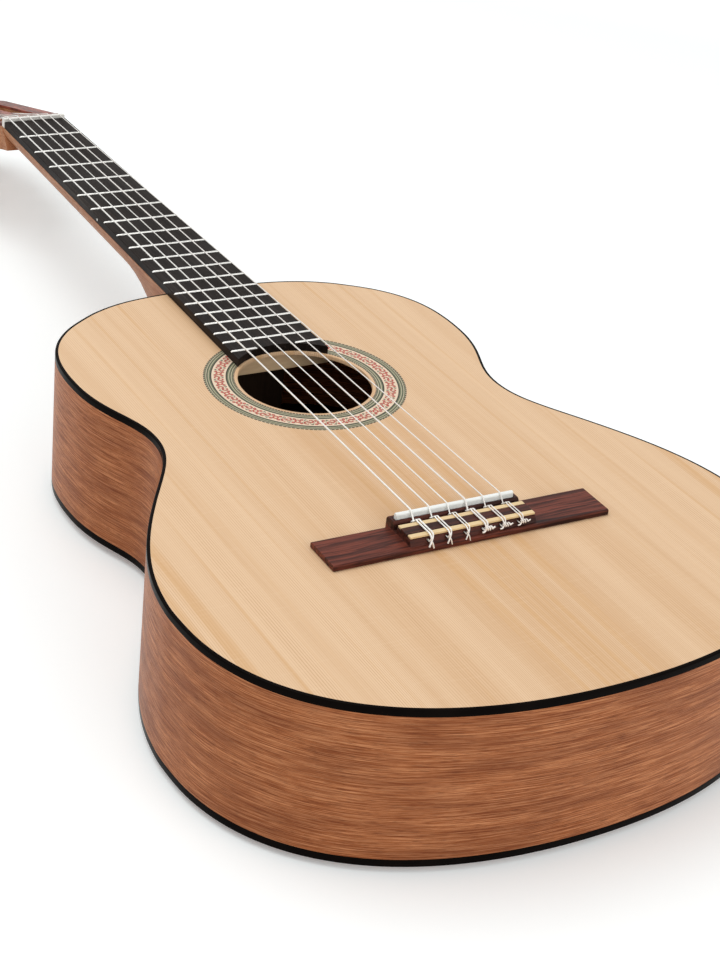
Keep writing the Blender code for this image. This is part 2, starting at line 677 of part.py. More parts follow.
def make_back_braces():
    for i, from_joint in enumerate(BACK_BARS_FROM_JOINT):
        y = JOINT_Y - from_joint
        half = bar_reach(y, BACK_BAR_WIDTH)
        seats = [-half + half * k / 5 for k in range(11)]
        low, high = y - BACK_BAR_WIDTH / 2, y + BACK_BAR_WIDTH / 2
        floor = [(x, max(back_height(x, low), back_height(x, high)) + BRACE_SEAT) for x in seats]
        crest = CENTRE_DEPTH - BACK_THICKNESS - BACK_BAR_HEIGHT
        profile = [*floor, (half, floor[-1][1] + BAR_TIP), (half - BAR_TAPER, -crest),
                   (-half + BAR_TAPER, -crest), (-half, floor[0][1] + BAR_TIP)]
        name = f"back_brace_{i + 1}"
        keep(name, front_plate_mesh(name, profile, low, high), BRACE_SPRUCE)


# Neck ------------------------------------------------------------------------------------------


def board_half(y):
    """Half width of the fingerboard and the neck's top at a station."""
    growth = (JOINT_BOARD_WIDTH - NUT_BOARD_WIDTH) / (SCALE_LENGTH - JOINT_FRET_Y)
    return (NUT_BOARD_WIDTH + growth * (SCALE_LENGTH - y)) / 2


def neck_section(y):
    """Depth and roundness of the neck at a station: plain along the shaft, deep and keel-like at the heel."""
    along = (y - JOINT_Y) / (SCALE_LENGTH - JOINT_Y)
    shaft = NECK_DEPTH_HEEL + (NECK_DEPTH_NUT - NECK_DEPTH_HEEL) * along
    sweep = min(max((y - JOINT_Y - HEEL_FOOT) / HEEL_SWEEP, 0), 1)
    swell = 1 - sqrt(1 - (1 - sweep) ** 2)
    depth = shaft + (side_depth(JOINT_Y) + HEEL_PAST_FOOT - shaft) * swell
    return depth, NECK_ROUND + (HEEL_ROUND - NECK_ROUND) * swell**0.5


def neck_half(y, height):
    """Half width of the neck at a station and a height under the fingerboard."""
    depth, power = neck_section(y)
    share = min(-height / depth, 1)
    return board_half(y) * (1 - share**power) ** (1 / power)


def neck_ring(y):
    depth, power = neck_section(y)
    ring = []
    for i in range(NECK_FACETS + 1):
        angle = pi * i / NECK_FACETS
        across = abs(cos(angle)) ** (2 / power)
        down = abs(sin(angle)) ** (2 / power)
        x = board_half(y) * across * (1 if cos(angle) > 0 else -1)
        ring.append((x, y, -depth * down))
    return ring


def neck_stations():
    start = JOINT_Y - NECK_OVERLAP
    foot = JOINT_Y + HEEL_FOOT
    heel = [foot + HEEL_SWEEP * (1 - cos(pi / 2 * i / 9)) for i in range(10)]
    shaft_end = SCALE_LENGTH + NUT_THICKNESS
    shaft = [heel[-1] + (shaft_end - heel[-1]) * i / 4 for i in range(1, 5)]
    return [start, *heel, *shaft]


def head_outline(start):
    """Plan of the head from a station near the nut to the arched tip."""
    nut_half = board_half(SCALE_LENGTH + NUT_THICKNESS)
    right = []
    for i in range(9):
        share = i / 8
        ease = share * share * (3 - 2 * share)
        right.append((nut_half + (HEAD_SIDE - nut_half) * ease, HEAD_FLARE * share))
    right = [(right[0][0], start), *right[1:]]
    shoulder = HEAD_LENGTH - HEAD_CROWN - HEAD_CROWN_START
    right.append((HEAD_SIDE, shoulder))
    right.append((HEAD_SIDE - HEAD_CORNER[0], shoulder + HEAD_CORNER[1]))
    inner = HEAD_SIDE - HEAD_CORNER_STEP
    for i in range(7):
        x = inner * (1 - i / 6)
        right.append((x, HEAD_LENGTH - HEAD_CROWN * (x / inner) ** 2))
    return right + [(-x, y) for x, y in right[-2::-1]]


def head_cutters():
    """The slots with their ramps, and the bores for the tuning posts."""
    slots, bores = [], []
    round_end = SLOT_WIDTH / 2
    for side in (-1, 1):
        x = side * SLOT_CENTRE
        low, high = SLOT_START + round_end, SLOT_END - round_end
        capsule = []
        for i in range(9):
            capsule.append((x + round_end * cos(pi * i / 8), high + round_end * sin(pi * i / 8)))
        capsule += [(2 * x - across, low + high - along) for across, along in capsule]
        name = f"slot_{'treble' if side > 0 else 'bass'}"
        slot = plate_mesh(name, [capsule], -HEAD_THICKNESS - PAST, PAST)
        slots.append(keep(name, slot, frame=head_frame))
        slope = radians(SLOT_RAMP_ANGLE)
        ramp_radius = round_end - SEAT
        mouth = Vector((x, SLOT_START - SLOT_RAMP_REACH + ramp_radius / sin(slope), 0))
        rise = Vector((0, -cos(slope), sin(slope)))
        foot, top = mouth - rise * HEAD_THICKNESS * 0.7, mouth + rise * HEAD_THICKNESS
        slots.append(keep(f"{name}_ramp", cylinder_mesh(name, ramp_radius, foot, top), frame=head_frame))
        for i, post in enumerate(POSTS):
            start = Vector((x, post, -POST_DEPTH))
            end = Vector((side * (HEAD_SIDE + PAST), post, -POST_DEPTH))
            bore = cylinder_mesh(f"{name}_bore_{i}", ROLLER_RADIUS + RUNNING_GAP, start, end)
            bores.append(keep(f"{name}_bore_{i}", bore, frame=head_frame))
    for i, post in enumerate(POSTS):
        start = Vector((-SLOT_CENTRE, post, -POST_DEPTH))
        end = start + X_AXIS * 2 * SLOT_CENTRE
        pin = cylinder_mesh(f"pin_bore_{i}", ROLLER_PIN + RUNNING_GAP, start, end)
        bores.append(keep(f"pin_bore_{i}", pin, frame=head_frame))
    return slots, bores


def make_neck():
    mesh = loft_mesh("neck", [neck_ring(y) for y in neck_stations()])
    neck = keep("neck", mesh, NECK_WOOD)
    head_mesh = plate_mesh("head_slab", [head_outline(0.0)], -HEAD_THICKNESS, 0)
    slope = tan(radians(HEAD_ANGLE))
    for vertex in head_mesh.vertices:
        if vertex.co.y < 1e-5 and vertex.co.z < -HEAD_THICKNESS / 2:
            vertex.co.y -= HEAD_THICKNESS * 2 * slope
    head = keep("head_slab", head_mesh, frame=head_frame)
    foot_z = HEEL_CAP_THICKNESS - side_depth(JOINT_Y)
    below = -side_depth(JOINT_Y) - HEEL_PAST_FOOT - PAST
    foot_cut = keep("heel_foot_cut", box_mesh("heel_foot_cut", (-LOWER_BOUT_WIDTH, JOINT_Y - PAST, below),
                                              (LOWER_BOUT_WIDTH, SCALE_LENGTH, foot_z)))
    body_cut = keep("body_cut", plate_mesh("body_cut", [full_outline(-SEAT)], below, PAST))
    slots, bores = head_cutters()
    join(neck, head)
    cut(neck, foot_cut, body_cut, *slots, *bores)
    smooth(neck)

    cap_y = [JOINT_Y + 2 * SEAT + (HEEL_FOOT + HEEL_SWEEP) * i / 40 for i in range(41)]
    half = [(neck_half(y, foot_z), y) for y in cap_y]
    half = [(x, y) for x, y in half if x > HEEL_CAP_NOSE]
    cap = half + [(-x, y) for x, y in reversed(half)]
    cap_mesh = plate_mesh("heel_cap", [cap], foot_z - HEEL_CAP_THICKNESS, foot_z - SEAT)
    keep("heel_cap", cap_mesh, BLACK_BINDING)

    veneer = plate_mesh("headplate", [head_outline(SEAT)], SEAT, SEAT + HEADPLATE_THICKNESS)
    cut(keep("headplate", veneer, ROSEWOOD, head_frame), *slots)


def fret_lines():
    """Stations of the frets, as many as the board holds."""
    lines, n = [], 1
    while SCALE_LENGTH * 2 ** (-n / 12) > BOARD_END_Y + LAST_FRET_MARGIN:
        lines.append(SCALE_LENGTH * 2 ** (-n / 12))
        n += 1
    return lines


def make_fingerboard():
    ends = (SCALE_LENGTH - SEAT, BOARD_END_Y)
    outline = [(board_half(ends[0]), ends[0]), (-board_half(ends[0]), ends[0]),
               (-board_half(ends[1]), ends[1]), (board_half(ends[1]), ends[1])]
    board = keep("fingerboard", plate_mesh("fingerboard", [outline], SEAT, BOARD_TOP), BOARD_WOOD)
    frets = bmesh.new()
    for y in fret_lines():
        half = board_half(y) - FRET_INSET
        low, side, high = BOARD_TOP - FRET_FOOT, BOARD_TOP + FRET_SIDE, BOARD_TOP + FRET_CROWN
        front, rear = y - FRET_WIDTH / 2, y + FRET_WIDTH / 2
        profile = [(front, low), (rear, low), (rear, side), (y + FRET_CREST / 2, high),
                   (y - FRET_CREST / 2, high), (front, side)]
        frets.from_mesh(side_plate_mesh("fret", profile, -half, half))
    wires = keep("fret_wires", mesh_of("fret_wires", frets))
    arc = cylinder_mesh("board_arc", BOARD_ARC_RADIUS, (0, HOLE_Y, -PAST), (0, HOLE_Y, PAST), 64)
    cut(join(board, wires), keep("board_arc", arc))


def string_x(number, spread):
    """Place across of a string, the first on the treble side."""
    return spread * (0.5 - (number - 1) / 5)


def string_radius(number):
    return STRING_DIAMETERS[number - 1] / 2


def nut_height(number):
    return BOARD_TOP + FRET_CROWN + STRING_OVER_FRETS - (string_radius(6) - string_radius(number)) / 2


def make_nut():
    half = board_half(SCALE_LENGTH)
    front, rear = SCALE_LENGTH + SEAT, SCALE_LENGTH + NUT_THICKNESS
    profile = [(front, SEAT), (rear, SEAT), (rear, NUT_HEIGHT - NUT_FALL), (front + NUT_EASE, NUT_HEIGHT),
               (front, NUT_HEIGHT - NUT_EASE_DROP)]
    nut = keep("nut", side_plate_mesh("nut", profile, -half, half), BONE)
    for number in range(1, 7):
        name = f"nut_groove_{number}"
        start = Vector((string_x(number, STRINGS_AT_NUT), front - PAST, nut_height(number)))
        groove = cylinder_mesh(name, string_radius(number) + SEAT, start, start + Y_AXIS * 2 * PAST, 8)
        cut(nut, keep(name, groove))


# Bridge ----------------------------------------------------------------------------------------


def make_bridge():
    edge, worn = WING_EDGE, WING_EDGE * 0.3
    wing = [(-BRIDGE_REAR, SEAT), (BRIDGE_FRONT, SEAT), (BRIDGE_FRONT, WING_THICKNESS - edge),
            (BRIDGE_FRONT - worn, WING_THICKNESS - worn), (BRIDGE_FRONT - edge, WING_THICKNESS),
            (-BRIDGE_REAR + edge, WING_THICKNESS), (-BRIDGE_REAR + worn, WING_THICKNESS - worn),
            (-BRIDGE_REAR, WING_THICKNESS - edge)]
    bridge = keep("bridge", side_plate_mesh("bridge", wing, -BRIDGE_WIDTH / 2, BRIDGE_WIDTH / 2), ROSEWOOD)
    inlay_seat = TIE_TOP - INLAY_THICKNESS - SEAT
    front_land = TIE_FRONT + INLAY_WIDTH + SEAT
    rear_land = TIE_REAR - INLAY_WIDTH - SEAT
    ease_across, ease_down = SADDLE_BLOCK_EASE
    block = [
        (SADDLE_BLOCK_FRONT, SEAT), (SADDLE_BLOCK_FRONT, SADDLE_BLOCK_TOP - ease_down),
        (SADDLE_BLOCK_FRONT - ease_across, SADDLE_BLOCK_TOP),
        (-CHANNEL_START + CHANNEL_EASE, SADDLE_BLOCK_TOP), (-CHANNEL_START, SADDLE_BLOCK_TOP - CHANNEL_EASE),
        (-CHANNEL_START - CHANNEL_SLOPE, CHANNEL_FLOOR), (-TIE_FRONT, CHANNEL_FLOOR),
        (-TIE_FRONT, inlay_seat), (-front_land, inlay_seat), (-front_land, TIE_TOP), (-rear_land, TIE_TOP),
        (-rear_land, inlay_seat), (-TIE_REAR, inlay_seat), (-TIE_END, WING_THICKNESS - worn),
        (-TIE_END, 2 * SEAT),
    ]
    block_mesh = side_plate_mesh("bridge_block", block, -BLOCK_WIDTH / 2, BLOCK_WIDTH / 2)
    join(bridge, keep("bridge_block", block_mesh))
    slot_half = (SADDLE_LENGTH / 2 + SEAT, SADDLE_THICKNESS / 2 + SEAT)
    slot = box_mesh("saddle_slot", (-slot_half[0], -slot_half[1], SADDLE_SEAT_HEIGHT), (*slot_half, PAST))
    cut(bridge, keep("saddle_slot", slot))
    for number in range(1, 7):
        in_channel = -(CHANNEL_START + CHANNEL_SLOPE + TIE_FRONT) / 2
        start = Vector((string_x(number, STRINGS_AT_SADDLE), in_channel, TIE_HOLE_HEIGHT))
        name = f"tie_hole_{number}"
        hole = cylinder_mesh(name, TIE_HOLE_RADIUS, start, start - Y_AXIS * (TIE_END + PAST), 8)
        cut(bridge, keep(name, hole))

    half, foot = SADDLE_THICKNESS / 2, SADDLE_SEAT_HEIGHT + SEAT
    side, crown = SADDLE_TOP - SADDLE_SHOULDER, SADDLE_TOP - SADDLE_CROWN
    saddle = [(-half, foot), (half, foot), (half, side), (half - SADDLE_ROUND, crown), (0, SADDLE_TOP),
              (-half + SADDLE_ROUND, crown), (-half, side)]
    keep("saddle", side_plate_mesh("saddle", saddle, -SADDLE_LENGTH / 2, SADDLE_LENGTH / 2), BONE)
    for name, front in (("tie_inlay_front", -TIE_FRONT), ("tie_inlay_rear", -TIE_REAR + INLAY_WIDTH)):
        strip = box_mesh(name, (-INLAY_LENGTH / 2, front - INLAY_WIDTH, TIE_TOP - INLAY_THICKNESS),
                         (INLAY_LENGTH / 2, front, TIE_TOP))
        keep(name, strip, BONE)


# Tuning machines -------------------------------------------------------------------------------


def worm_station(post):
    """The worm lies beside its gear, on the nut's side of the post."""
    return post - WORM_OFFSET


def make_plate(name, side):
    middle = (POSTS[0] + POSTS[-1]) / 2 - WORM_OFFSET / 2
    corners = []
    for cx, cy, first in ((1, 1, 0), (-1, 1, 1), (-1, -1, 2), (1, -1, 3)):
        for k in range(4):
            angle = pi / 2 * (first + k / 3)
            corners.append((middle + cx * (PLATE_LENGTH / 2 - PLATE_CORNER) + PLATE_CORNER * cos(angle),
                            -POST_DEPTH + cy * (PLATE_HEIGHT / 2 - PLATE_CORNER) + PLATE_CORNER * sin(angle)))
    low, high = sorted((side * (HEAD_SIDE + SEAT), side * PLATE_X))
    plate = keep(name, side_plate_mesh(name, corners, low, high), NICKEL, head_frame)
    ears, holes = bmesh.new(), bmesh.new()
    reach = WORM_HALF_LENGTH + RUNNING_GAP + EAR_THICKNESS / 2
    for post in POSTS:
        worm_s = worm_station(post)
        for level in (-POST_DEPTH - reach, -POST_DEPTH + reach):
            near, far = sorted((side * (PLATE_X - PLATE_THICKNESS / 2), side * (WORM_X + EAR_PROUD)))
            ears.from_mesh(box_mesh("ear", (near, worm_s - EAR_HALF_WIDTH, level - EAR_THICKNESS / 2),
                                    (far, worm_s + EAR_HALF_WIDTH, level + EAR_THICKNESS / 2)))
        start = Vector((side * WORM_X, worm_s, -POST_DEPTH - reach - PAST))
        end = start + Z_AXIS * 2 * (reach + PAST)
        holes.from_mesh(cylinder_mesh("ear_hole", WORM_SHAFT + RUNNING_GAP, start, end, 10))
        start = Vector((side * HEAD_SIDE, post, -POST_DEPTH))
        end = start + X_AXIS * side * (2 * SEAT + PLATE_THICKNESS)
        holes.from_mesh(cylinder_mesh("post_hole", ROLLER_PIN + RUNNING_GAP, start, end, 12))
    join(plate, keep(f"{name}_ears", mesh_of("ears", ears), frame=head_frame))
    cut(plate, keep(f"{name}_holes", mesh_of("holes", holes), frame=head_frame))


def make_roller(number, side, post, offset):
    """The post: a pin in the middle bar, the barrel with its string winding, and the gear's shaft."""
    inner = SLOT_BAR / 2
    face = HEAD_SIDE - 2 * SEAT
    winding = SLOT_CENTRE + offset
    top = ROLLER_RADIUS + WINDING_HEIGHT
    pin, shaft_end = ROLLER_PIN, WORM_X + GEAR_WIDTH / 2 + SHAFT_PROUD
    profile = [
        (0, inner - ROLLER_PIN_LENGTH), (pin, inner - ROLLER_PIN_LENGTH), (pin, inner + RUNNING_GAP),
        (ROLLER_RADIUS, inner + RUNNING_GAP), (ROLLER_RADIUS, winding - WINDING_HALF),
        (top, winding - WINDING_HALF + WINDING_EASE), (top, winding + WINDING_HALF - WINDING_EASE),
        (ROLLER_RADIUS, winding + WINDING_HALF), (ROLLER_RADIUS, face), (pin, face),
        (pin, shaft_end), (0, shaft_end),
    ]
    turn = Matrix.Rotation(side * pi / 2, 4, "Y")
    place = Matrix.Translation((0, post, -POST_DEPTH)) @ turn
    turned(f"roller_{number}", profile, 10, ROLLER_PLASTIC, head_frame, place)


def gear_mesh():
    """A toothed wheel about Z, its teeth leaning by the worm's lead angle."""
    tip, root = GEAR_RADIUS + ADDENDUM, GEAR_RADIUS - DEDENDUM
    lean = GEAR_WIDTH * tan(LEAD_ANGLE) / GEAR_RADIUS
    outlines = []
    for level, twist in ((-GEAR_WIDTH / 2, -lean / 2), (GEAR_WIDTH / 2, lean / 2)):
        ring = []
        for tooth in range(GEAR_TEETH):
            middle = 2 * pi * tooth / GEAR_TEETH + twist
            for radius, width in ((root, -TOOTH_ROOT_WIDTH), (tip, -TOOTH_TIP_WIDTH), (tip, TOOTH_TIP_WIDTH),
                                  (root, TOOTH_ROOT_WIDTH)):
                angle = middle + asin(width / 2 / radius)
                ring.append((radius * cos(angle), radius * sin(angle), level))
        outlines.append(ring)
    return loft_mesh("gear", outlines)


def make_gear(number, side, post):
    bore_mesh = cylinder_mesh("gear_bore", ROLLER_PIN + RUNNING_GAP / 2, (0, 0, -GEAR_WIDTH),
                              (0, 0, GEAR_WIDTH), 10)
    bore = keep(f"gear_bore_{number}", bore_mesh, frame=head_frame)
    # The first tooth points at the worm, and the wheel's +Z runs along +X.
    turn = Matrix.Rotation(pi / 2, 4, "Y") @ Matrix.Rotation(-pi / 2, 4, "Z")
    place = Matrix.Translation((side * WORM_X, post, -POST_DEPTH)) @ turn
    bore.matrix_local = place
    cut(keep(f"gear_{number}", gear_mesh(), BRASS, head_frame, place), bore)


def thread_mesh():
    """A tooth's section screwed round the shaft, leaving a gap at the middle on the gear's side, +Y."""
    turns = int(2 * (WORM_HALF_LENGTH - TOOTH_ROOT_WIDTH / 2) / WORM_LEAD)
    steps = turns * WORM_STEPS
    facing = 1 if turns % 2 else -1
    foot, root, tip = WORM_SHAFT * THREAD_FOOT, TOOTH_ROOT_WIDTH / 2, TOOTH_TIP_WIDTH / 2
    bm = bmesh.new()
    section = [(foot, -root), (WORM_ROOT, -root), (WORM_CREST, -tip), (WORM_CREST, tip), (WORM_ROOT, root),
               (foot, root)]
    verts = [bm.verts.new((0, facing * radius, level - WORM_LEAD * turns / 2)) for radius, level in section]
    face = bm.faces.new(verts)
    bmesh.ops.spin(bm, geom=[face, *face.edges, *face.verts], cent=(0, 0, 0), axis=(0, 0, 1),
                   dvec=(0, 0, WORM_LEAD / WORM_STEPS), angle=2 * pi * turns, steps=steps)
    return mesh_of("thread", bm)


def make_worm(number, side, post):
    """The worm on its shaft, which runs through both ears and into the button."""
    top = WORM_HALF_LENGTH + 2 * RUNNING_GAP + EAR_THICKNESS + WORM_SHAFT_PROUD
    bottom = POST_DEPTH - HEAD_THICKNESS - BUTTON_DROP - BUTTON_BORE + SEAT
    profile = [(0, bottom), (WORM_SHAFT, bottom), (WORM_SHAFT, top), (0, top)]
    place = Matrix.Translation((side * WORM_X, worm_station(post), -POST_DEPTH))
    worm = turned(f"worm_{number}", profile, WORM_STEPS, NICKEL, head_frame, place)
    join(worm, keep(f"worm_thread_{number}", thread_mesh(), frame=head_frame, place=place))


def make_button(number, side, post):
    """The finger button: a rounded block on a short collar, bored for the worm's shaft."""
    collar = Vector((side * WORM_X, worm_station(post), -HEAD_THICKNESS - BUTTON_DROP))
    bm = bmesh.new()
    bmesh.ops.create_cube(bm, size=1)
    bmesh.ops.scale(bm, vec=(BUTTON_THICKNESS, BUTTON_WIDTH, BUTTON_LENGTH), verts=bm.verts)
    bmesh.ops.scale(bm, vec=BUTTON_FOOT, verts=[v for v in bm.verts if v.co.z < 0])
    bmesh.ops.bevel(bm, geom=bm.edges[:], offset=BUTTON_ROUND, segments=2, profile=0.5, affect="EDGES")
    name = f"button_{number}"
    place = Matrix.Translation(collar - Z_AXIS * (BUTTON_NECK + BUTTON_LENGTH / 2))
    button = keep(name, mesh_of(name, bm), PEARL, head_frame, place)
    neck_end = collar - Z_AXIS * (BUTTON_NECK + BUTTON_ROUND)
    collar_mesh = cylinder_mesh("collar", BUTTON_COLLAR, collar, neck_end, 10)
    bore_mesh = cylinder_mesh("bore", WORM_SHAFT + SEAT, collar + Z_AXIS * PAST,
                              collar - Z_AXIS * BUTTON_BORE, WORM_STEPS)
    join(button, keep(f"collar_{number}", collar_mesh, frame=head_frame))
    cut(button, keep(f"button_bore_{number}", bore_mesh, frame=head_frame))
    smooth(button, 40)


def make_tuners():
    make_plate("tuner_plate_bass", -1)
    make_plate("tuner_plate_treble", 1)
    for number in range(1, 7):
        side = 1 if number <= 3 else -1
        place = number - 1 if side > 0 else 6 - number
        post = POSTS[place]
        make_roller(number, side, post, WINDING_OFFSETS[2 - place])
        make_gear(number, side, post)
        make_worm(number, side, post)
        make_button(number, side, post)


# Strings ---------------------------------------------------------------------------------------


def from_head(point):
    """A point of the head's frame in the guitar's."""
    return Matrix.Translation((0, HEAD_Y, 0)) @ Matrix.Rotation(-radians(HEAD_ANGLE), 4, "X") @ Vector(point)


def string_route(number):
    """From the winding on its post, over nut and saddle, through the tie block and back over it."""
    radius = string_radius(number)
    side = 1 if number <= 3 else -1
    place = number - 1 if side > 0 else 6 - number
    post_x = side * (SLOT_CENTRE + WINDING_OFFSETS[2 - place])
    winding_top = ROLLER_RADIUS + WINDING_HEIGHT - POST_DEPTH + SEAT + radius
    nut_x, saddle_x = string_x(number, STRINGS_AT_NUT), string_x(number, STRINGS_AT_SADDLE)
    nut_z = nut_height(number)
    saddle_z = SADDLE_TOP + SEAT + radius
    over = TIE_TOP + SEAT + radius
    rear, bend = -TIE_REAR - STRING_LOOP, STRING_LOOP_BEND
    crest = SADDLE_THICKNESS / 2 - SADDLE_ROUND
    return [
        from_head((post_x, POSTS[place], winding_top)),
        Vector((nut_x, SCALE_LENGTH + NUT_THICKNESS - SEAT, nut_z)),
        Vector((nut_x, SCALE_LENGTH + SEAT, nut_z)),
        Vector((saddle_x, crest, saddle_z)),
        Vector((saddle_x, -crest, saddle_z - SADDLE_CROWN / 2)),
        Vector((saddle_x, -TIE_FRONT, TIE_HOLE_HEIGHT + SEAT)),
        Vector((saddle_x, -TIE_FRONT - bend, TIE_HOLE_HEIGHT)),
        Vector((saddle_x, rear, TIE_HOLE_HEIGHT)),
        Vector((saddle_x, rear - bend, TIE_HOLE_HEIGHT + bend)),
        Vector((saddle_x, rear - bend / 2, over - bend)),
        Vector((saddle_x, -TIE_REAR + 2 * SEAT, over)),
        Vector((saddle_x, -TIE_FRONT - 2 * SEAT, over)),
    ]


def make_strings():
    for number in range(1, 7):
        name = f"string_{number}"
        curve = bpy.data.curves.new(name, "CURVE")
        curve.dimensions = "3D"
        curve.bevel_depth = string_radius(number)
        curve.bevel_resolution = STRING_SIDES
        curve.use_fill_caps = True
        route = string_route(number)
        spline = curve.splines.new("POLY")
        spline.points.add(len(route) - 1)
        for point, place in zip(spline.points, route):
            point.co = (*place, 1)
        smooth(keep(name, mesh_from_curve(curve), NYLON if number <= 3 else WOUND))


# Assembly --------------------------------------------------------------------------------------

make_soundboard()
make_bindings()
make_ribs(make_blocks())
make_back()
make_cross_bar("upper_cross_bar", UPPER_BAR_Y)
make_cross_bar("lower_cross_bar", LOWER_BAR_Y)
make_fan_braces()
make_back_braces()
make_neck()
make_fingerboard()
make_nut()
make_bridge()
make_tuners()
make_strings()

head_reach = HEAD_Y + HEAD_LENGTH * cos(radians(HEAD_ANGLE))
head_reach += (SEAT + HEADPLATE_THICKNESS) * sin(radians(HEAD_ANGLE))
guitar_frame.location = (0, -(TAIL_Y + head_reach) / 2, CENTRE_DEPTH)
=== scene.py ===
"""Looks of a classical guitar lying on its back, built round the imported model."""

import json
from math import atan2, cos, pi, radians, sin, sqrt

import bmesh
import bpy
from mathutils import Matrix, Vector

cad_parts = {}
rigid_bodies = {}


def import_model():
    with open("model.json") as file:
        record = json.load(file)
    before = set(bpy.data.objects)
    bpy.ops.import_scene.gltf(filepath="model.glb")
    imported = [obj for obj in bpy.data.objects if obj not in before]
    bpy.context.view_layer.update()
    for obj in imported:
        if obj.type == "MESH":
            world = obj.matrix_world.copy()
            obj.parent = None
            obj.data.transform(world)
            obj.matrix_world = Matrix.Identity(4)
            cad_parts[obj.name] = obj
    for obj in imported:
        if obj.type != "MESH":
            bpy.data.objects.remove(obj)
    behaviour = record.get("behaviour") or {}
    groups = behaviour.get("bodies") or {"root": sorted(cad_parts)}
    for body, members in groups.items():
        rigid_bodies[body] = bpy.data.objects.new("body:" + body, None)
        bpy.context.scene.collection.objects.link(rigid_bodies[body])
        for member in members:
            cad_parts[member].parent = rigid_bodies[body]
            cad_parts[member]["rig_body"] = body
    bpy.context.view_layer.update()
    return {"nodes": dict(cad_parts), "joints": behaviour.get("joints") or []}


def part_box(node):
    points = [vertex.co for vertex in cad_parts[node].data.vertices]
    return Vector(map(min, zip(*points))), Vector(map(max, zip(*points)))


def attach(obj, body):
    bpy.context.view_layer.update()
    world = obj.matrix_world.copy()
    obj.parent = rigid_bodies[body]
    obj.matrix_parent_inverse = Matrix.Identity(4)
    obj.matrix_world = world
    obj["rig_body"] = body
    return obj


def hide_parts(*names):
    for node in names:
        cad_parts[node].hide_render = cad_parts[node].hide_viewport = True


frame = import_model()
nodes = frame["nodes"]

# Places, taken from the frame

SEAT = 0.0003  # gap that the CAD leaves between two pieces that touch
HEAD_ANGLE = radians(14.0)
TOP_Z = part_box("soundboard")[1].z
SADDLE_LOW, SADDLE_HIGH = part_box("saddle")
NUT_LOW, NUT_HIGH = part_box("nut")
SADDLE_Y = (SADDLE_LOW.y + SADDLE_HIGH.y) / 2
SCALE_LENGTH = NUT_LOW.y - SEAT - SADDLE_Y
ROSETTE_LOW, ROSETTE_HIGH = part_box("rosette")
HOLE = (ROSETTE_LOW + ROSETTE_HIGH) / 2
ROSETTE_OUTER = (ROSETTE_HIGH.x - ROSETTE_LOW.x) / 2
BOARD_LOW, BOARD_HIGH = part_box("fingerboard")
FRET_CROWN = 0.0010
BOARD_TOP = BOARD_HIGH.z - FRET_CROWN
HEAD_PLACE = Matrix.Translation((0, NUT_HIGH.y + 2 * SEAT, TOP_Z)) @ Matrix.Rotation(-HEAD_ANGLE, 4, "X")


def axis_points(kind):
    """A point on the axis of each joint of a kind, by the number of its machine."""
    return {int(joint["name"][-1]): Vector(joint["pos_m"]) for joint in frame["joints"]
            if joint["name"].startswith(kind)}


POST_AXES = axis_points("turn_post")
WORM_AXES = axis_points("turn_button")

# Sizes of the box, fingerboard, strings and machines, as in the CAD or fitted to it

BINDING_WIDTH, BINDING_EASE = 0.0020, 0.0006
# The binding's worn corner, as (inset, depth).
WORN_EDGE = ((0.0, 0.0009), (0.00006, 0.0005), (0.0002, 0.00022), (0.0005, 0.00005), (0.0009, 0.0))
TOP_BINDING_HEIGHT, BACK_BINDING_HEIGHT = 0.0041, 0.0050
TOP_THICKNESS, BACK_THICKNESS, RIB_THICKNESS = 0.0025, 0.0025, 0.0020
LINING_REACH, LINING_EDGE, LINING_HEIGHT = 0.0080, 0.0090, 0.0150
HOLE_RADIUS, ROSETTE_INNER, ROSETTE_DEPTH = 0.0421, 0.0442, 0.0010
HOLE_EASE = 0.0003  # rounding of the soundhole's edge
FLAT_ACROSS, FLAT_ALONG = 0.12, 0.80

FRETS, FRET_WIRE, FRET_RISE = 19, 0.0013, 0.0009  # the wire is narrower than the CAD's
FRET_FOOT = 0.0002  # sunk into the board
FRET_ENDS = (0.00015, 0.0008)  # where a wire's end starts to round over, and where it is at full height
BOARD_ARC_CLEARANCE = (0.0004, 0.0019)  # in the board's middle, nearer than the CAD's, and at its corners
BOARD_INSET = 0.00002
BOARD_EASE, BOARD_ROUND = 0.0004, 0.012  # the worn edge's depth, and the share of the width that it takes
DOT_FRETS, DOT_RADIUS = (7,), 0.00095

STRING_DIAMETERS = (0.00071, 0.00081, 0.00102, 0.00074, 0.00089, 0.00109)
STRINGS_AT_NUT, STRINGS_AT_SADDLE = 0.043, 0.058
STRING_OVER_FRETS, NUT_THICKNESS = 0.0011, 0.0055
TURN_PITCH = 2.05  # turns lie this many radii apart
TIE_FRONT, TIE_REAR, TIE_TOP, TIE_HOLE_HEIGHT = 0.0072, 0.0206, 0.0088, 0.0056
WING_THICKNESS = 0.0036
EDGE_WIDTHS = {  # rounding of the CAD pieces that keep their shape
    "bridge": 0.0003, "saddle": 0.0004, "nut": 0.0003, "headplate": 0.0, "neck": 0.0,
    "tie_inlay_front": 0.00015, "tie_inlay_rear": 0.00015, "heel_cap": 0.0003,
}

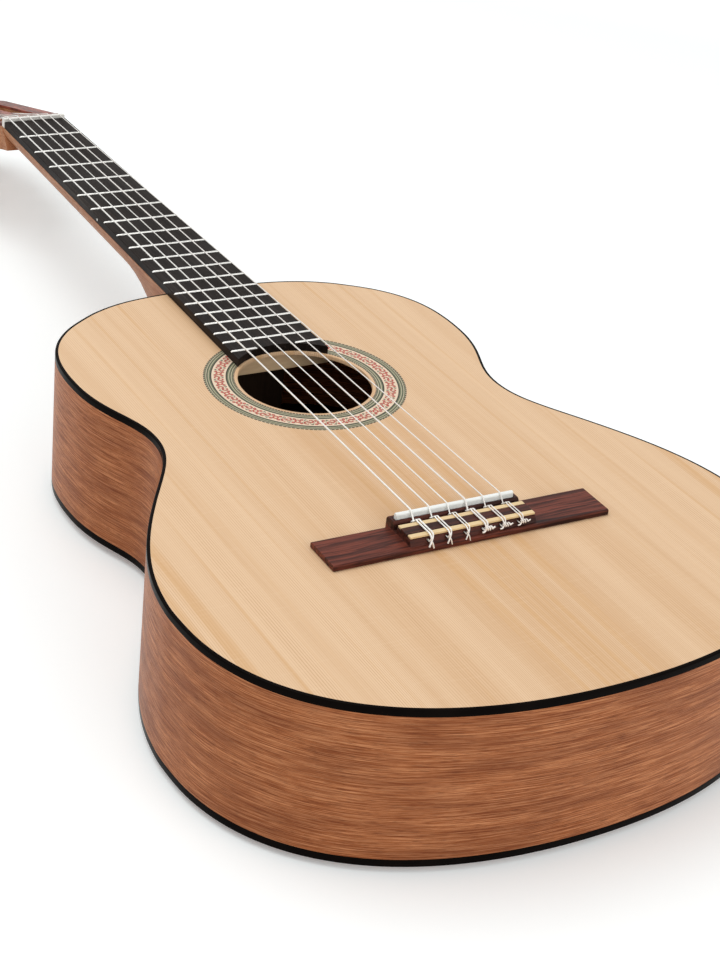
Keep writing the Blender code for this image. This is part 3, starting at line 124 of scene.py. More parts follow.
POST_DEPTH, SLOT_CENTRE = 0.0098, 0.01425
WINDING_OFFSETS, WINDING_HALF, WINDING_RADIUS = (-0.0015, 0.0010, 0.0042), 0.0023, 0.0059
ROLLER_RADIUS, ROLLER_PIN, BARREL_ENDS = 0.0050, 0.0025, (0.0073, 0.0354)
WORM_SHAFT, WORM_CREST, WORM_LEAD, WORM_TURNS = 0.0016, 0.0032, pi * 0.0008, 3.2
WORM_ENDS = (-0.0219, 0.0074)
BUTTON_TOP, BUTTON_END = -0.0142, -0.0337
THREAD_ROOT, THREAD_SHOULDER, THREAD_TIP = 0.00072, 0.00026, 0.00018  # half widths of its section
BUTTON_HALF_WIDTH, BUTTON_HALF_THICKNESS, COLLAR_RADIUS = 0.00926, 0.0041, 0.0031
BUTTON_NECK = 0.0027  # from the collar's top to where the pillow starts
PLATE_FACE, PLATE_SCREWS = 0.0375, (0.0345, 0.0695, 0.1040, 0.1385)
PLATE_SCREW_HEAD, GEAR_SCREW_HEAD = (0.0019, 0.0009), (0.0027, 0.0013)  # radius and height
WASHER_RADIUS, WASHER_THICKNESS = 0.0037, 0.0003

CAMERA_PLACE = (-0.523731, -1.063108, 0.619694)
CAMERA_AZIMUTH, CAMERA_ELEVATION, CAMERA_ROLL = -31.869, 29.268, 6.567
CAMERA_LENS = 70.107
CAMERA_SHIFT = (0.01707, -0.00526)

FLOOR_SIZE, FLOOR_LEVEL = 14, -0.0003
FLOOR_LIFT, FAR_LIFT = 0.19, 0.8  # glow of the paper near the guitar, and far off
LIFT_FROM, LIFT_TO = 1.2, 2.6  # distances between which one passes into the other
WORLD_LIGHT = 0.56
SOFTBOXES = (  # name, place, size, watts
    ("key_softbox", (-0.7, 0.4, 2.5), (2.2, 2.2), 30),
    ("fill_softbox", (0.7, -2.8, 1.2), (2.6, 1.5), 19),
)
LIT_POINT = Vector((0, 0, 0.05))


# Node helpers


class Graph:
    """A material whose nodes are added one by one and linked by passing sockets as inputs."""

    def __init__(self, name):
        self.material = bpy.data.materials.new(name)
        self.material.use_nodes = True
        self.tree = self.material.node_tree
        self.tree.nodes.clear()
        self.output = self.tree.nodes.new("ShaderNodeOutputMaterial")

    def add(self, kind, inputs=None, **settings):
        node = self.tree.nodes.new("ShaderNode" + kind)
        for key, value in settings.items():
            setattr(node, key, value)
        for key, value in (inputs or {}).items():
            if isinstance(value, bpy.types.NodeSocket):
                self.tree.links.new(value, node.inputs[key])
            else:
                node.inputs[key].default_value = value
        return node

    def place(self, scale, move=(0, 0, 0)):
        """Object coordinates in metres, scaled and moved."""
        coordinates = self.add("TexCoord").outputs["Object"]
        return self.add("Mapping", {"Vector": coordinates, "Location": move, "Scale": scale}).outputs[0]

    def noise(self, vector, detail=3.0, roughness=0.5):
        inputs = {"Vector": vector, "Scale": 1.0, "Detail": detail, "Roughness": roughness}
        return self.add("TexNoise", inputs).outputs["Fac"]

    def math(self, operation, a, b=0.0):
        return self.add("Math", {0: a, 1: b}, operation=operation).outputs[0]

    def spread(self, value, low, high, to_low=0.0, to_high=1.0):
        """The value's range from low to high, stretched to another and held within it."""
        return self.add("MapRange", {0: value, 1: low, 2: high, 3: to_low, 4: to_high}).outputs[0]

    def ramp(self, value, stops, interpolation="LINEAR"):
        made = self.add("ValToRGB", {"Fac": value})
        made.color_ramp.interpolation = interpolation
        elements = made.color_ramp.elements
        while len(elements) < len(stops):
            elements.new(0.5)
        for element, (position, colour) in zip(elements, stops):
            element.position = position
            element.color = (*colour, 1)
        return made.outputs["Color"]

    def mix(self, factor, a, b):
        """Colour a, passing into b as the factor rises."""
        made = self.add("Mix", {0: factor}, data_type="RGBA")
        for socket, value in ((made.inputs[6], a), (made.inputs[7], b)):
            if isinstance(value, bpy.types.NodeSocket):
                self.tree.links.new(value, socket)
            else:
                socket.default_value = (*value, 1)
        return made.outputs[2]

    def bump(self, height, depth, strength):
        return self.add("Bump", {"Height": height, "Distance": depth, "Strength": strength}).outputs[0]

    def shade(self, colour, roughness, normal=None, **values):
        """Finishes the material with a Principled shader."""
        inputs = {"Roughness": roughness}
        inputs["Base Color"] = colour if isinstance(colour, bpy.types.NodeSocket) else (*colour, 1)
        if normal:
            inputs["Normal"] = normal
        for key, value in values.items():
            inputs[key.replace("_", " ")] = value
        shader = self.add("BsdfPrincipled", inputs)
        self.tree.links.new(shader.outputs[0], self.output.inputs["Surface"])
        return self.material


# Materials


def soundboard_spruce():
    g = Graph("spruce_top")
    # The two halves are cut from one board and opened like a book.
    xyz = g.add("SeparateXYZ", {0: g.add("TexCoord").outputs["Object"]}).outputs
    wander = g.noise(g.place((7, 1.3, 7)), detail=2)
    across = g.math("ADD", g.math("ABSOLUTE", xyz[0]), g.math("MULTIPLY", wander, 0.005))
    board = g.add("CombineXYZ", {0: across, 1: xyz[1], 2: xyz[2]}).outputs[0]

    def stretched(x, y, detail, roughness=0.55):
        made = g.add("Mapping", {"Vector": board, "Scale": (x, y, 1)}).outputs[0]
        return g.noise(made, detail=detail, roughness=roughness)

    # Year rings about 1.3 mm apart, each darker towards its edge.
    spacing = stretched(26, 0.5, 1)
    ring = g.math("FRACT", g.math("ADD", g.math("MULTIPLY", across, 780.0), g.math("MULTIPLY", spacing, 9.0)))
    late = g.math("MULTIPLY", g.spread(ring, 0.45, 0.90), g.spread(ring, 1.0, 0.93))
    faint = stretched(60, 1.6, 2)
    fine, bands, streaks = stretched(1500, 16, 3), stretched(44, 0.7, 4, 0.65), stretched(120, 1.1, 2)
    silk = g.noise(g.place((60, 520, 1)), detail=2)
    colour = g.ramp(bands, [(0.30, (0.88, 0.625, 0.400)), (0.50, (0.81, 0.555, 0.340)),
                            (0.68, (0.72, 0.455, 0.250))])
    strength = g.math("MULTIPLY", late, g.spread(faint, 0.35, 0.65, 0.30, 0.85))
    colour = g.mix(strength, colour, (0.58, 0.33, 0.16))
    colour = g.mix(g.spread(streaks, 0.57, 0.68, 0, 0.60), colour, (0.68, 0.385, 0.160))
    colour = g.mix(g.spread(fine, 0.35, 0.65, 0, 0.20), colour, (0.92, 0.665, 0.43))
    colour = g.mix(g.spread(silk, 0.55, 0.75, 0, 0.12), colour, (0.92, 0.69, 0.46))
    height = g.math("ADD", g.math("MULTIPLY", late, -0.5), g.math("MULTIPLY", fine, 0.5))
    rough = g.spread(fine, 0.3, 0.7, 0.42, 0.52)
    return g.shade(colour, rough, g.bump(height, 0.00004, 0.5), Specular_IOR_Level=0.22)


def pored_wood(name, pale, middle, dark, run=(1, 1, 0), inner_shade=None, book=False):
    """Reddish wood with short dark and pale dashes along its run, which is 1 on an axis of the grain and 0
    across it. A book's two halves mirror each other about a dark joint. Inner shade, if given, is painted
    shade that darkens what faces up, as the back's inner face in the dark inside of the box."""
    g = Graph(name)
    drift = g.math("MULTIPLY", g.noise(g.place((5, 5, 5)), detail=2), 0.007)
    sway = g.add("CombineXYZ", {axis: drift for axis, along in enumerate(run) if not along}).outputs[0]
    place = g.place((1, 1, 1))
    if book:
        apart = g.add("SeparateXYZ", {0: place}).outputs
        middle_line = g.math("ABSOLUTE", apart[0])
        place = g.add("CombineXYZ", {0: middle_line, 1: apart[1], 2: apart[2]}).outputs[0]
    moved = g.add("VectorMath", {0: place, 1: sway}, operation="ADD").outputs[0]

    def stretched(length, width, detail=2, roughness=0.55):
        scale = tuple(1 / length if along else 1 / width for along in run)
        return g.noise(g.add("Mapping", {"Vector": moved, "Scale": scale}).outputs[0], detail=detail,
                       roughness=roughness)

    grain, broad = stretched(0.030, 0.00045, 4, 0.70), stretched(0.06, 0.009, 3)
    pale_lines, dashes = stretched(0.035, 0.00038, 3), stretched(0.011, 0.00038)
    pits = stretched(0.008, 0.0003)
    colour = g.ramp(grain, [(0.34, dark), (0.47, middle), (0.62, pale)])
    colour = g.mix(g.spread(broad, 0.42, 0.66, 0, 0.55), colour, dark)
    colour = g.mix(g.spread(pale_lines, 0.57, 0.64, 0, 0.60), colour, pale)
    colour = g.mix(g.spread(dashes, 0.58, 0.66, 0, 0.60), colour, dark)
    colour = g.mix(g.spread(pits, 0.60, 0.68, 0, 0.60), colour, tuple(v * 0.5 for v in dark))
    if book:
        colour = g.mix(g.spread(middle_line, 0.0018, 0.0021, 1, 0), colour, (0.020, 0.010, 0.008))
    # Painted shade: what faces up, the back's inner face, passes into the given near-black colour.
    if inner_shade:
        facing = g.add("SeparateXYZ", {0: g.add("NewGeometry").outputs["True Normal"]}).outputs[2]
        colour = g.mix(g.spread(facing, 0.2, 0.6), colour, inner_shade)
    height = g.math("SUBTRACT", g.math("MULTIPLY", grain, 0.3), g.spread(pits, 0.60, 0.72, 0, 1))
    rough = g.spread(pits, 0.4, 0.75, 0.36, 0.52)
    return g.shade(colour, rough, g.bump(height, 0.00008, 0.6), Specular_IOR_Level=0.12)


def rosewood(name, scale, lift=1.0, dark_above=None):
    """Dark red-brown wood with black figure, and darker still above a height: partly darker end grain, partly
    painted shade.
    """
    g = Graph(name)
    drift = g.noise(g.place((14, 14, 14)), detail=2)
    sway = g.add("CombineXYZ", {1: g.math("MULTIPLY", drift, 0.008)}).outputs[0]
    moved = g.add("VectorMath", {0: g.place((1, 1, 1)), 1: sway}, operation="ADD").outputs[0]

    def stretched(factor, detail):
        made = g.add("Mapping", {"Vector": moved, "Scale": tuple(v * factor for v in scale)}).outputs[0]
        return g.noise(made, detail=detail, roughness=0.6)

    figure, lines, pores = stretched(1, 5), stretched(2.4, 3), stretched(7, 2)
    tints = [(0.32, (0.016, 0.005, 0.004)), (0.43, (0.085, 0.021, 0.013)), (0.57, (0.205, 0.050, 0.030)),
             (0.70, (0.050, 0.013, 0.010))]
    colour = g.ramp(figure, [(stop, tuple(c * lift for c in tint)) for stop, tint in tints])
    colour = g.mix(g.spread(lines, 0.50, 0.62, 0, 0.70), colour, (0.022, 0.007, 0.006))
    colour = g.mix(g.spread(pores, 0.62, 0.75, 0, 0.6), colour, (0.014, 0.005, 0.005))
    # Above the height, the tie block is darkened: partly its darker end grain, partly painted shade on its
    # ends and faces.
    if dark_above:
        height = g.add("SeparateXYZ", {0: g.place((1, 1, 1))}).outputs[2]
        above = g.spread(height, dark_above, dark_above + 0.0004, 0, 0.55)
        colour = g.mix(above, colour, (0.018, 0.008, 0.006))
    rough = g.spread(pores, 0.35, 0.7, 0.36, 0.50)
    relief = g.bump(g.spread(pores, 0.55, 0.75, 1, 0), 0.00006, 0.6)
    return g.shade(colour, rough, relief, Specular_IOR_Level=0.12)


def plain_wood(name, pale, dark, scale):
    """Bare inner wood, unfinished."""
    g = Graph(name)
    grain = g.noise(g.place(scale), detail=4, roughness=0.6)
    colour = g.ramp(grain, [(0.3, dark), (0.7, pale)])
    return g.shade(colour, 0.75, g.bump(grain, 0.0001, 0.4), Specular_IOR_Level=0.2)


def black_binding():
    g = Graph("gloss_binding")
    haze = g.noise(g.place((60, 60, 60)), detail=3)
    marks = g.noise(g.place((900, 900, 200)), detail=2)
    colour = g.ramp(haze, [(0.3, (0.0022, 0.0012, 0.0009)), (0.7, (0.0050, 0.0030, 0.0022))])
    rough = g.spread(haze, 0.3, 0.7, 0.18, 0.30)
    return g.shade(colour, rough, g.bump(marks, 0.00002, 0.3), Specular_IOR_Level=0.02)


def board_wood():
    g = Graph("dark_fingerboard_wood")
    grain = g.noise(g.place((700, 11, 300)), detail=4, roughness=0.65)
    pores = g.noise(g.place((1600, 60, 600)), detail=2)
    worn = g.noise(g.place((24, 12, 1)), detail=2)
    colour = g.ramp(grain, [(0.30, (0.007, 0.005, 0.004)), (0.55, (0.017, 0.012, 0.010)),
                            (0.75, (0.040, 0.030, 0.024))])
    colour = g.mix(g.spread(pores, 0.60, 0.75, 0, 0.7), colour, (0.004, 0.003, 0.003))
    rough = g.spread(worn, 0.3, 0.7, 0.42, 0.56)
    relief = g.bump(g.spread(pores, 0.55, 0.75, 1, 0), 0.00006, 0.5)
    return g.shade(colour, rough, relief, Specular_IOR_Level=0.06)


def smooth_stuff(name, colour, shift, roughness, cloud=(70, 70, 70), **values):
    """Bone, plastic and the like: a faint cloud in the colour and a nearly even polish."""
    g = Graph(name)
    cloudy = g.noise(g.place(cloud), detail=3)
    tint = g.ramp(cloudy, [(0.3, tuple(c * (1 - shift) for c in colour)), (0.7, colour)])
    fine = g.noise(g.place((1400, 1400, 1400)), detail=2)
    rough = g.spread(fine, 0.3, 0.7, roughness * 0.85, roughness * 1.15)
    return g.shade(tint, rough, g.bump(fine, 0.00001, 0.3), **values)


def metal(name, colour, roughness, brushed=(2500, 60, 60), metallic=1.0):
    """Metal with fine brushed lines and a faint stain."""
    g = Graph(name)
    lines = g.noise(g.place(brushed), detail=2)
    stain = g.noise(g.place((90, 90, 90)), detail=3)
    tint = g.ramp(stain, [(0.3, tuple(c * 0.92 for c in colour)), (0.7, colour)])
    rough = g.spread(lines, 0.3, 0.7, roughness * 0.75, roughness * 1.3)
    return g.shade(tint, rough, g.bump(lines, 0.00001, 0.4), Metallic=metallic)


def marquetry():
    """Rings of dyed veneer and, between them, a band of flowers and scrolls in small tiles."""
    g = Graph("ring_marquetry")
    xyz = g.add("SeparateXYZ", {0: g.place((1, 1, 1), move=(-HOLE.x, -HOLE.y, 0))}).outputs
    flat = g.add("CombineXYZ", {0: xyz[0], 1: xyz[1], 2: 0.0}).outputs[0]
    radius = g.math("MULTIPLY", g.add("VectorMath", {0: flat}, operation="LENGTH").outputs["Value"], 1000.0)
    turn = g.math("ADD", g.math("DIVIDE", g.math("ARCTAN2", xyz[1], xyz[0]), 2 * pi), 1.0)
    green, black, brown = (0.135, 0.165, 0.090), (0.010, 0.008, 0.006), (0.070, 0.028, 0.018)
    pale, cream, red, sage = (0.64, 0.55, 0.40), (0.88, 0.70, 0.52), (0.60, 0.105, 0.080), (0.22, 0.25, 0.16)
    low, high = 44.0, 64.0
    # Tint and width, from the edge to the band in the middle. Every length here is in millimetres.
    veneers = ((brown, 1.1), (green, 0.75), (pale, 0.45), (black, 0.35), (green, 0.75), (pale, 0.45),
               (green, 0.85), (black, 0.80))
    lines, start = [], low
    for tint, width in (*veneers, (cream, 8.8), *reversed(veneers)):
        lines.append((start, tint))
        start += width
    stops = [((place - low) / (high - low), tint) for place, tint in lines]
    colour = g.ramp(g.spread(radius, low, high), stops, "CONSTANT")

    # One unit of the band is a flower in its middle and half a scroll at each end, snapped to tiles.
    repeats, tile, middle, half = 25, 0.33, 53.9, 4.2
    unit = 2 * pi * middle / repeats

    def snapped(value):
        return g.math("MULTIPLY", g.math("ADD", g.math("FLOOR", g.math("DIVIDE", value, tile)), 0.5), tile)

    def within(value, centre, reach):
        return g.math("LESS_THAN", g.math("ABSOLUTE", g.math("SUBTRACT", value, centre)), reach)

    def distance(x, y):
        return g.math("SQRT", g.math("ADD", g.math("MULTIPLY", x, x), g.math("MULTIPLY", y, y)))

    share = g.math("FRACT", g.math("MULTIPLY", turn, repeats))
    x = snapped(g.math("MULTIPLY", g.math("SUBTRACT", share, 0.5), unit))
    y = snapped(g.math("SUBTRACT", radius, middle))
    ax, ay = g.math("ABSOLUTE", x), g.math("ABSOLUTE", y)
    bloom = distance(x, y), 1.55, 0.42
    petals = distance(g.math("SUBTRACT", ax, 2.45), g.math("SUBTRACT", ay, 2.15)), 0.30, 0.55
    end_x = g.math("SUBTRACT", unit / 2, ax)
    side = g.math("MULTIPLY", g.math("SIGN", x), 1.1)
    curl = distance(g.math("SUBTRACT", end_x, 1.1), g.math("SUBTRACT", y, side)), 1.45, 0.38
    sway = g.math("MULTIPLY", g.math("SINE", g.math("MULTIPLY", x, 2 * pi / unit * 2)), 2.7)
    stem = g.math("MULTIPLY", within(y, sway, 0.28), g.math("GREATER_THAN", ax, 2.8))
    leaf = distance(g.math("SUBTRACT", ax, 4.6), g.math("ADD", y, g.math("MULTIPLY", side, 2.3))), 0.0, 0.55
    band = within(radius, middle, half)
    colour = g.mix(g.math("MULTIPLY", stem, band), colour, brown)
    for (away, ring, reach), tint in ((leaf, sage), (curl, red), (petals, red), (bloom, red)):
        for grown, dye in ((0.18, brown), (0.0, tint)):
            colour = g.mix(g.math("MULTIPLY", within(away, ring, reach + grown), band), colour, dye)
    # The first and the last line are dashed, as a rope of two woods.
    dashes = g.math("GREATER_THAN", g.math("FRACT", g.math("MULTIPLY", turn, 150)), 0.70)
    from_middle = g.math("ABSOLUTE", g.math("SUBTRACT", radius, (low + start) / 2))
    rope = g.math("GREATER_THAN", from_middle, (start - low) / 2 - veneers[0][1])
    colour = g.mix(g.math("MULTIPLY", dashes, rope), colour, pale)
    grain = g.noise(g.place((1300, 1300, 1300)), detail=3)
    colour = g.mix(g.spread(grain, 0.35, 0.65, 0, 0.14), colour, (0.30, 0.21, 0.13))
    rough = g.spread(grain, 0.3, 0.7, 0.40, 0.52)
    return g.shade(colour, rough, g.bump(grain, 0.00002, 0.4), Specular_IOR_Level=0.2)


def wound_string():
    """Silvered wire wound close round a core, its turns running across the string's length."""
    g = Graph("silvered_winding")
    turns = g.add("TexWave", {"Vector": g.place((0, 1, 0.25)), "Scale": 1900.0, "Distortion": 0.2},
                  wave_type="BANDS", bands_direction="Y").outputs["Fac"]
    stain = g.noise(g.place((40, 40, 40)), detail=3)
    colour = g.ramp(stain, [(0.3, (0.86, 0.84, 0.79)), (0.7, (0.96, 0.95, 0.91))])
    return g.shade(colour, 0.38, g.bump(turns, 0.00004, 0.5), Metallic=0.35)


SPRUCE = soundboard_spruce()
SIDE_WOOD = pored_wood("rib_mahogany", (0.67, 0.285, 0.125), (0.385, 0.117, 0.036), (0.180, 0.042, 0.012))
NECK_WOOD = pored_wood("neck_mahogany", (0.60, 0.31, 0.165), (0.44, 0.185, 0.085), (0.31, 0.110, 0.048),
                       run=(0, 1, 0))
# Its inner face gets painted shade, near black, for the dark inside of the box.
BACK_WOOD = pored_wood("back_mahogany", (0.60, 0.255, 0.100), (0.36, 0.115, 0.036), (0.20, 0.052, 0.014),
                       run=(0, 1, 1), inner_shade=(0.020, 0.010, 0.006), book=True)
BRIDGE_WOOD = rosewood("bridge_rosewood", (13, 260, 260), dark_above=TOP_Z + WING_THICKNESS)
HEAD_VENEER = rosewood("headplate_rosewood", (140, 8, 60), 1.9)
BRACE_WOOD = plain_wood("bare_spruce", (0.92, 0.68, 0.42), (0.82, 0.56, 0.32), (90, 90, 500))
# The neck and tail blocks are near black: painted shade for the dark inside of the box, not their own colour.
SHADED_BLOCK_WOOD = plain_wood("block_painted_shade", (0.060, 0.034, 0.020), (0.040, 0.022, 0.013), (400, 400, 12))
BINDING = black_binding()
BOARD = board_wood()
BONE = smooth_stuff("white_bone", (0.92, 0.90, 0.84), 0.05, 0.32, Specular_IOR_Level=0.4)
SADDLE_BONE = smooth_stuff("saddle_bone", (0.97, 1.0, 0.97), 0.04, 0.30, Specular_IOR_Level=0.4)
INLAY = smooth_stuff("inlay_bone", (0.88, 0.66, 0.36), 0.12, 0.35, cloud=(40, 400, 200),
                     Specular_IOR_Level=0.3)
MOSAIC = marquetry()
NICKEL = metal("nickel_plate", (0.52, 0.50, 0.46), 0.22, brushed=(60, 60, 2500))
FRET_METAL = metal("fret_nickel_silver", (0.96, 0.95, 0.91), 0.30, brushed=(40, 2500, 2500), metallic=0.5)
BRASS = metal("machine_brass", (0.72, 0.50, 0.22), 0.28)
ROLLER = smooth_stuff("roller_white", (0.84, 0.81, 0.72), 0.05, 0.35, Specular_IOR_Level=0.5)
PEARL = smooth_stuff("pearl", (0.93, 0.91, 0.84), 0.14, 0.20, cloud=(160, 160, 60), Specular_IOR_Level=0.5,
                     Coat_Weight=0.3, Coat_Roughness=0.1)
NYLON = smooth_stuff("clear_nylon", (0.97, 0.93, 0.88), 0.04, 0.25, Specular_IOR_Level=0.4)
WOUND = wound_string()

FINISHES = {  # by the start of a node's name, the longest that fits
    "soundboard": SPRUCE, "rosette": MOSAIC, "back_panel": BACK_WOOD, "rib": SIDE_WOOD,
    "top_binding": BINDING, "back_binding": BINDING, "heel_cap": BINDING, "neck_block": SHADED_BLOCK_WOOD,
    "tail_block": SHADED_BLOCK_WOOD, "upper_cross_bar": BRACE_WOOD, "lower_cross_bar": BRACE_WOOD,
    "fan_brace": BRACE_WOOD, "back_brace": BRACE_WOOD, "neck": NECK_WOOD, "headplate": HEAD_VENEER,
    "fingerboard": BOARD, "nut": BONE, "saddle": SADDLE_BONE, "bridge": BRIDGE_WOOD, "tie_inlay": INLAY,
    "tuner_plate": NICKEL, "worm": NICKEL, "gear": BRASS, "roller": ROLLER, "button": PEARL,
}


def finish_of(name):
    """A CAD node's finish. The treble strings are nylon and the bass ones are wound."""
    if name.startswith("string_"):
        return NYLON if int(name[-1]) <= 3 else WOUND
    return FINISHES[max((key for key in FINISHES if name.startswith(key)), key=len)]


for name, node in nodes.items():
    for slot in node.material_slots:
        slot.material = finish_of(name)


# Mesh helpers


def piece(name, bm, finish, body="root", stands_for=(), sharp=35):
    """Ends a mesh as a piece on its body, in place of the CAD nodes that it stands for."""
    bmesh.ops.recalc_face_normals(bm, faces=bm.faces)
    mesh = bpy.data.meshes.new(name)
    bm.to_mesh(mesh)
    bm.free()
    if "custom_normal" in mesh.attributes:
        mesh.attributes.remove(mesh.attributes["custom_normal"])
    mesh.shade_smooth()
    mesh.set_sharp_from_angle(angle=radians(sharp))
    mesh.materials.append(finish)
    made = bpy.data.objects.new(name, mesh)
    bpy.context.scene.collection.objects.link(made)
    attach(made, body)
    if stands_for:
        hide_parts(*stands_for)
    return made


def skin(bm, rows, loop=False):
    """Quads between equal closed rows of points, with the ends capped unless the rows run round a loop."""
    rows = [[bm.verts.new(point) for point in row] for row in rows]
    for row, following in zip(rows, rows[1:] + rows[:1] if loop else rows[1:]):
        for i in range(len(row)):
            j = (i + 1) % len(row)
            bm.faces.new((row[i], row[j], following[j], following[i]))
    if not loop:
        bm.faces.new(rows[0])
        bm.faces.new(rows[-1])


def turned(bm, profile, place, steps=28):
    """A profile of (radius, height) turned about the place's Z."""
    turns = [2 * pi * i / steps for i in range(steps)]
    skin(bm, [[place @ Vector((radius * cos(a), radius * sin(a), height)) for a in turns]
              for radius, height in profile])


def tube(bm, path, radius, sides=10):
    """A round tube along a line, its radius one number or one for each point."""
    side = (path[1] - path[0]).orthogonal().normalized()
    rows = []
    for i, point in enumerate(path):
        run = (path[min(i + 1, len(path) - 1)] - path[max(i - 1, 0)]).normalized()
        side = (side - run * side.dot(run)).normalized()
        up = run.cross(side)
        r = radius[i] if isinstance(radius, list) else radius
        rows.append([point + (side * cos(a) + up * sin(a)) * r
                     for a in (2 * pi * k / sides for k in range(sides))])
    skin(bm, rows)


def flowing(points, steps, loop=False):
    """More points, on a smooth curve through the given ones."""
    ends = [points[-1], *points, points[0], points[1]] if loop else [
        points[0] * 2 - points[1], *points, points[-1] * 2 - points[-2]]
    line = []
    for a, b, c, d in zip(ends, ends[1:], ends[2:], ends[3:]):
        slope, bend, twist = c - a, 2 * a - 5 * b + 4 * c - d, 3 * b - a - 3 * c + d
        for k in range(steps):
            t = k / steps
            line.append(b + (slope * t + bend * t**2 + twist * t**3) / 2)
    return line if loop else [*line, points[-1]]


def rounded(points, reach):
    """A line whose corners are bent over the reach, or over less where a stretch is short."""
    line, steps = [points[0]], 4
    for before, corner, after in zip(points, points[1:], points[2:]):
        back, on = before - corner, after - corner
        start = corner + back.normalized() * min(reach, back.length * 0.45)
        end = corner + on.normalized() * min(reach, on.length * 0.45)
        for k in range(steps + 1):
            t = k / steps
            line.append(start * (1 - t) ** 2 + corner * 2 * t * (1 - t) + end * t**2)
    return [*line, points[-1]]


def softened(node, width):
    """A copy of a CAD node in its place, with its edges rounded off if a width is given."""
    bm = bmesh.new()
    bm.from_mesh(nodes[node].data)
    bmesh.ops.remove_doubles(bm, verts=bm.verts, dist=1e-6)
    bmesh.ops.dissolve_limit(bm, angle_limit=radians(0.4), verts=bm.verts, edges=bm.edges)
    if width:
        corners = [e for e in bm.edges if e.is_manifold and e.calc_face_angle(0) > radians(32)]
        bmesh.ops.bevel(bm, geom=corners, offset=width, segments=2, profile=0.5, affect="EDGES",
                        clamp_overlap=True)
    made = piece(f"{node}_soft", bm, finish_of(node), nodes[node]["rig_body"], [node], sharp=50)
    made.modifiers.new("even_normals", "WEIGHTED_NORMAL").keep_sharp = True


# Box: the CAD's outline, drawn finer


def body_edge():
    """The box's outline, closed, from the upright face of the top binding."""
    level = TOP_Z - BINDING_EASE
    found = {(round(v.co.x, 6), round(v.co.y, 6)) for v in nodes["top_binding"].data.vertices
             if abs(v.co.z - level) < 2e-5}
    corners = [Vector(p) for p in sorted(found, key=lambda p: atan2(p[1] - HOLE.y, p[0] - HOLE.x))]
    return flowing(corners, 5, loop=True)


EDGE = body_edge()
TAIL_EDGE, NECK_EDGE = min(p.y for p in EDGE), max(p.y for p in EDGE)
SIDE_DEPTH_TAIL = TOP_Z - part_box("back_binding")[0].z
SIDE_DEPTH_NECK = TOP_Z - min(v.co.z for v in nodes["back_binding"].data.vertices
                              if v.co.y > NECK_EDGE - 0.001)


def side_depth(y):
    """From the soundboard's face to the back's edge."""
    return SIDE_DEPTH_NECK + (SIDE_DEPTH_TAIL - SIDE_DEPTH_NECK) * (NECK_EDGE - y) / (NECK_EDGE - TAIL_EDGE)


def inset_edge(inset):
    """The box's outline, moved inwards."""
    line = []
    for i, point in enumerate(EDGE):
        run = (EDGE[(i + 1) % len(EDGE)] - EDGE[i - 1]).normalized()
        line.append(point + Vector((-run.y, run.x)) * inset)
    return line


def wound_round(sections, z_of):
    """A band that runs round the box. Each section point is (inset, height), and z_of turns a height at a
    station into a place."""
    lines = {inset: inset_edge(inset) for inset, _ in sections}
    bm = bmesh.new()
    skin(bm, [[(*lines[inset][i], z_of(height, lines[0.0][i].y)) for inset, height in sections]
              for i in range(len(EDGE))], loop=True)
    return bm


def from_top(height, _):
    return TOP_Z + height


def from_back(height, y):
    return TOP_Z - side_depth(y) + height


def rib_height(height, y):
    """Positive heights count from the back and negative ones from the top."""
    return from_back(height, y) if height > 0 else from_top(height, y)


def make_bindings():
    width, upper, lower = BINDING_WIDTH, TOP_BINDING_HEIGHT, BACK_BINDING_HEIGHT
    top = [(0.0, -upper), *((inset, -drop) for inset, drop in WORN_EDGE), (width, 0.0), (width, -upper)]
    back = [(0.0, lower), *WORN_EDGE, (width, 0.0), (width, lower)]
    piece("top_binding_band", wound_round(top, from_top), BINDING, stands_for=["top_binding"])
    piece("back_binding_band", wound_round(back, from_back), BINDING, stands_for=["back_binding"])


def make_ribs():
    """Both sides and their linings in one band, from binding to binding."""
    wall, panel, reach = RIB_THICKNESS, BINDING_WIDTH + SEAT, LINING_REACH
    foot, plate = BACK_BINDING_HEIGHT, BACK_THICKNESS
    section = [
        (0.0, -TOP_BINDING_HEIGHT), (0.0, foot), (panel, foot), (panel, plate), (reach, plate),
        (reach, plate + LINING_EDGE), (wall, plate + LINING_HEIGHT), (wall, -TOP_THICKNESS - LINING_HEIGHT),
        (reach, -TOP_THICKNESS - LINING_EDGE), (reach, -TOP_THICKNESS), (panel, -TOP_THICKNESS),
        (panel, -TOP_BINDING_HEIGHT)]
    piece("rib_band", wound_round(section, rib_height), SIDE_WOOD, stands_for=["rib_bass", "rib_treble"])


def circle_facing(points, radius):
    """Points of a circle round the soundhole, one towards each given point."""
    return [HOLE.to_2d() + (p - HOLE.to_2d()).normalized() * radius for p in points]


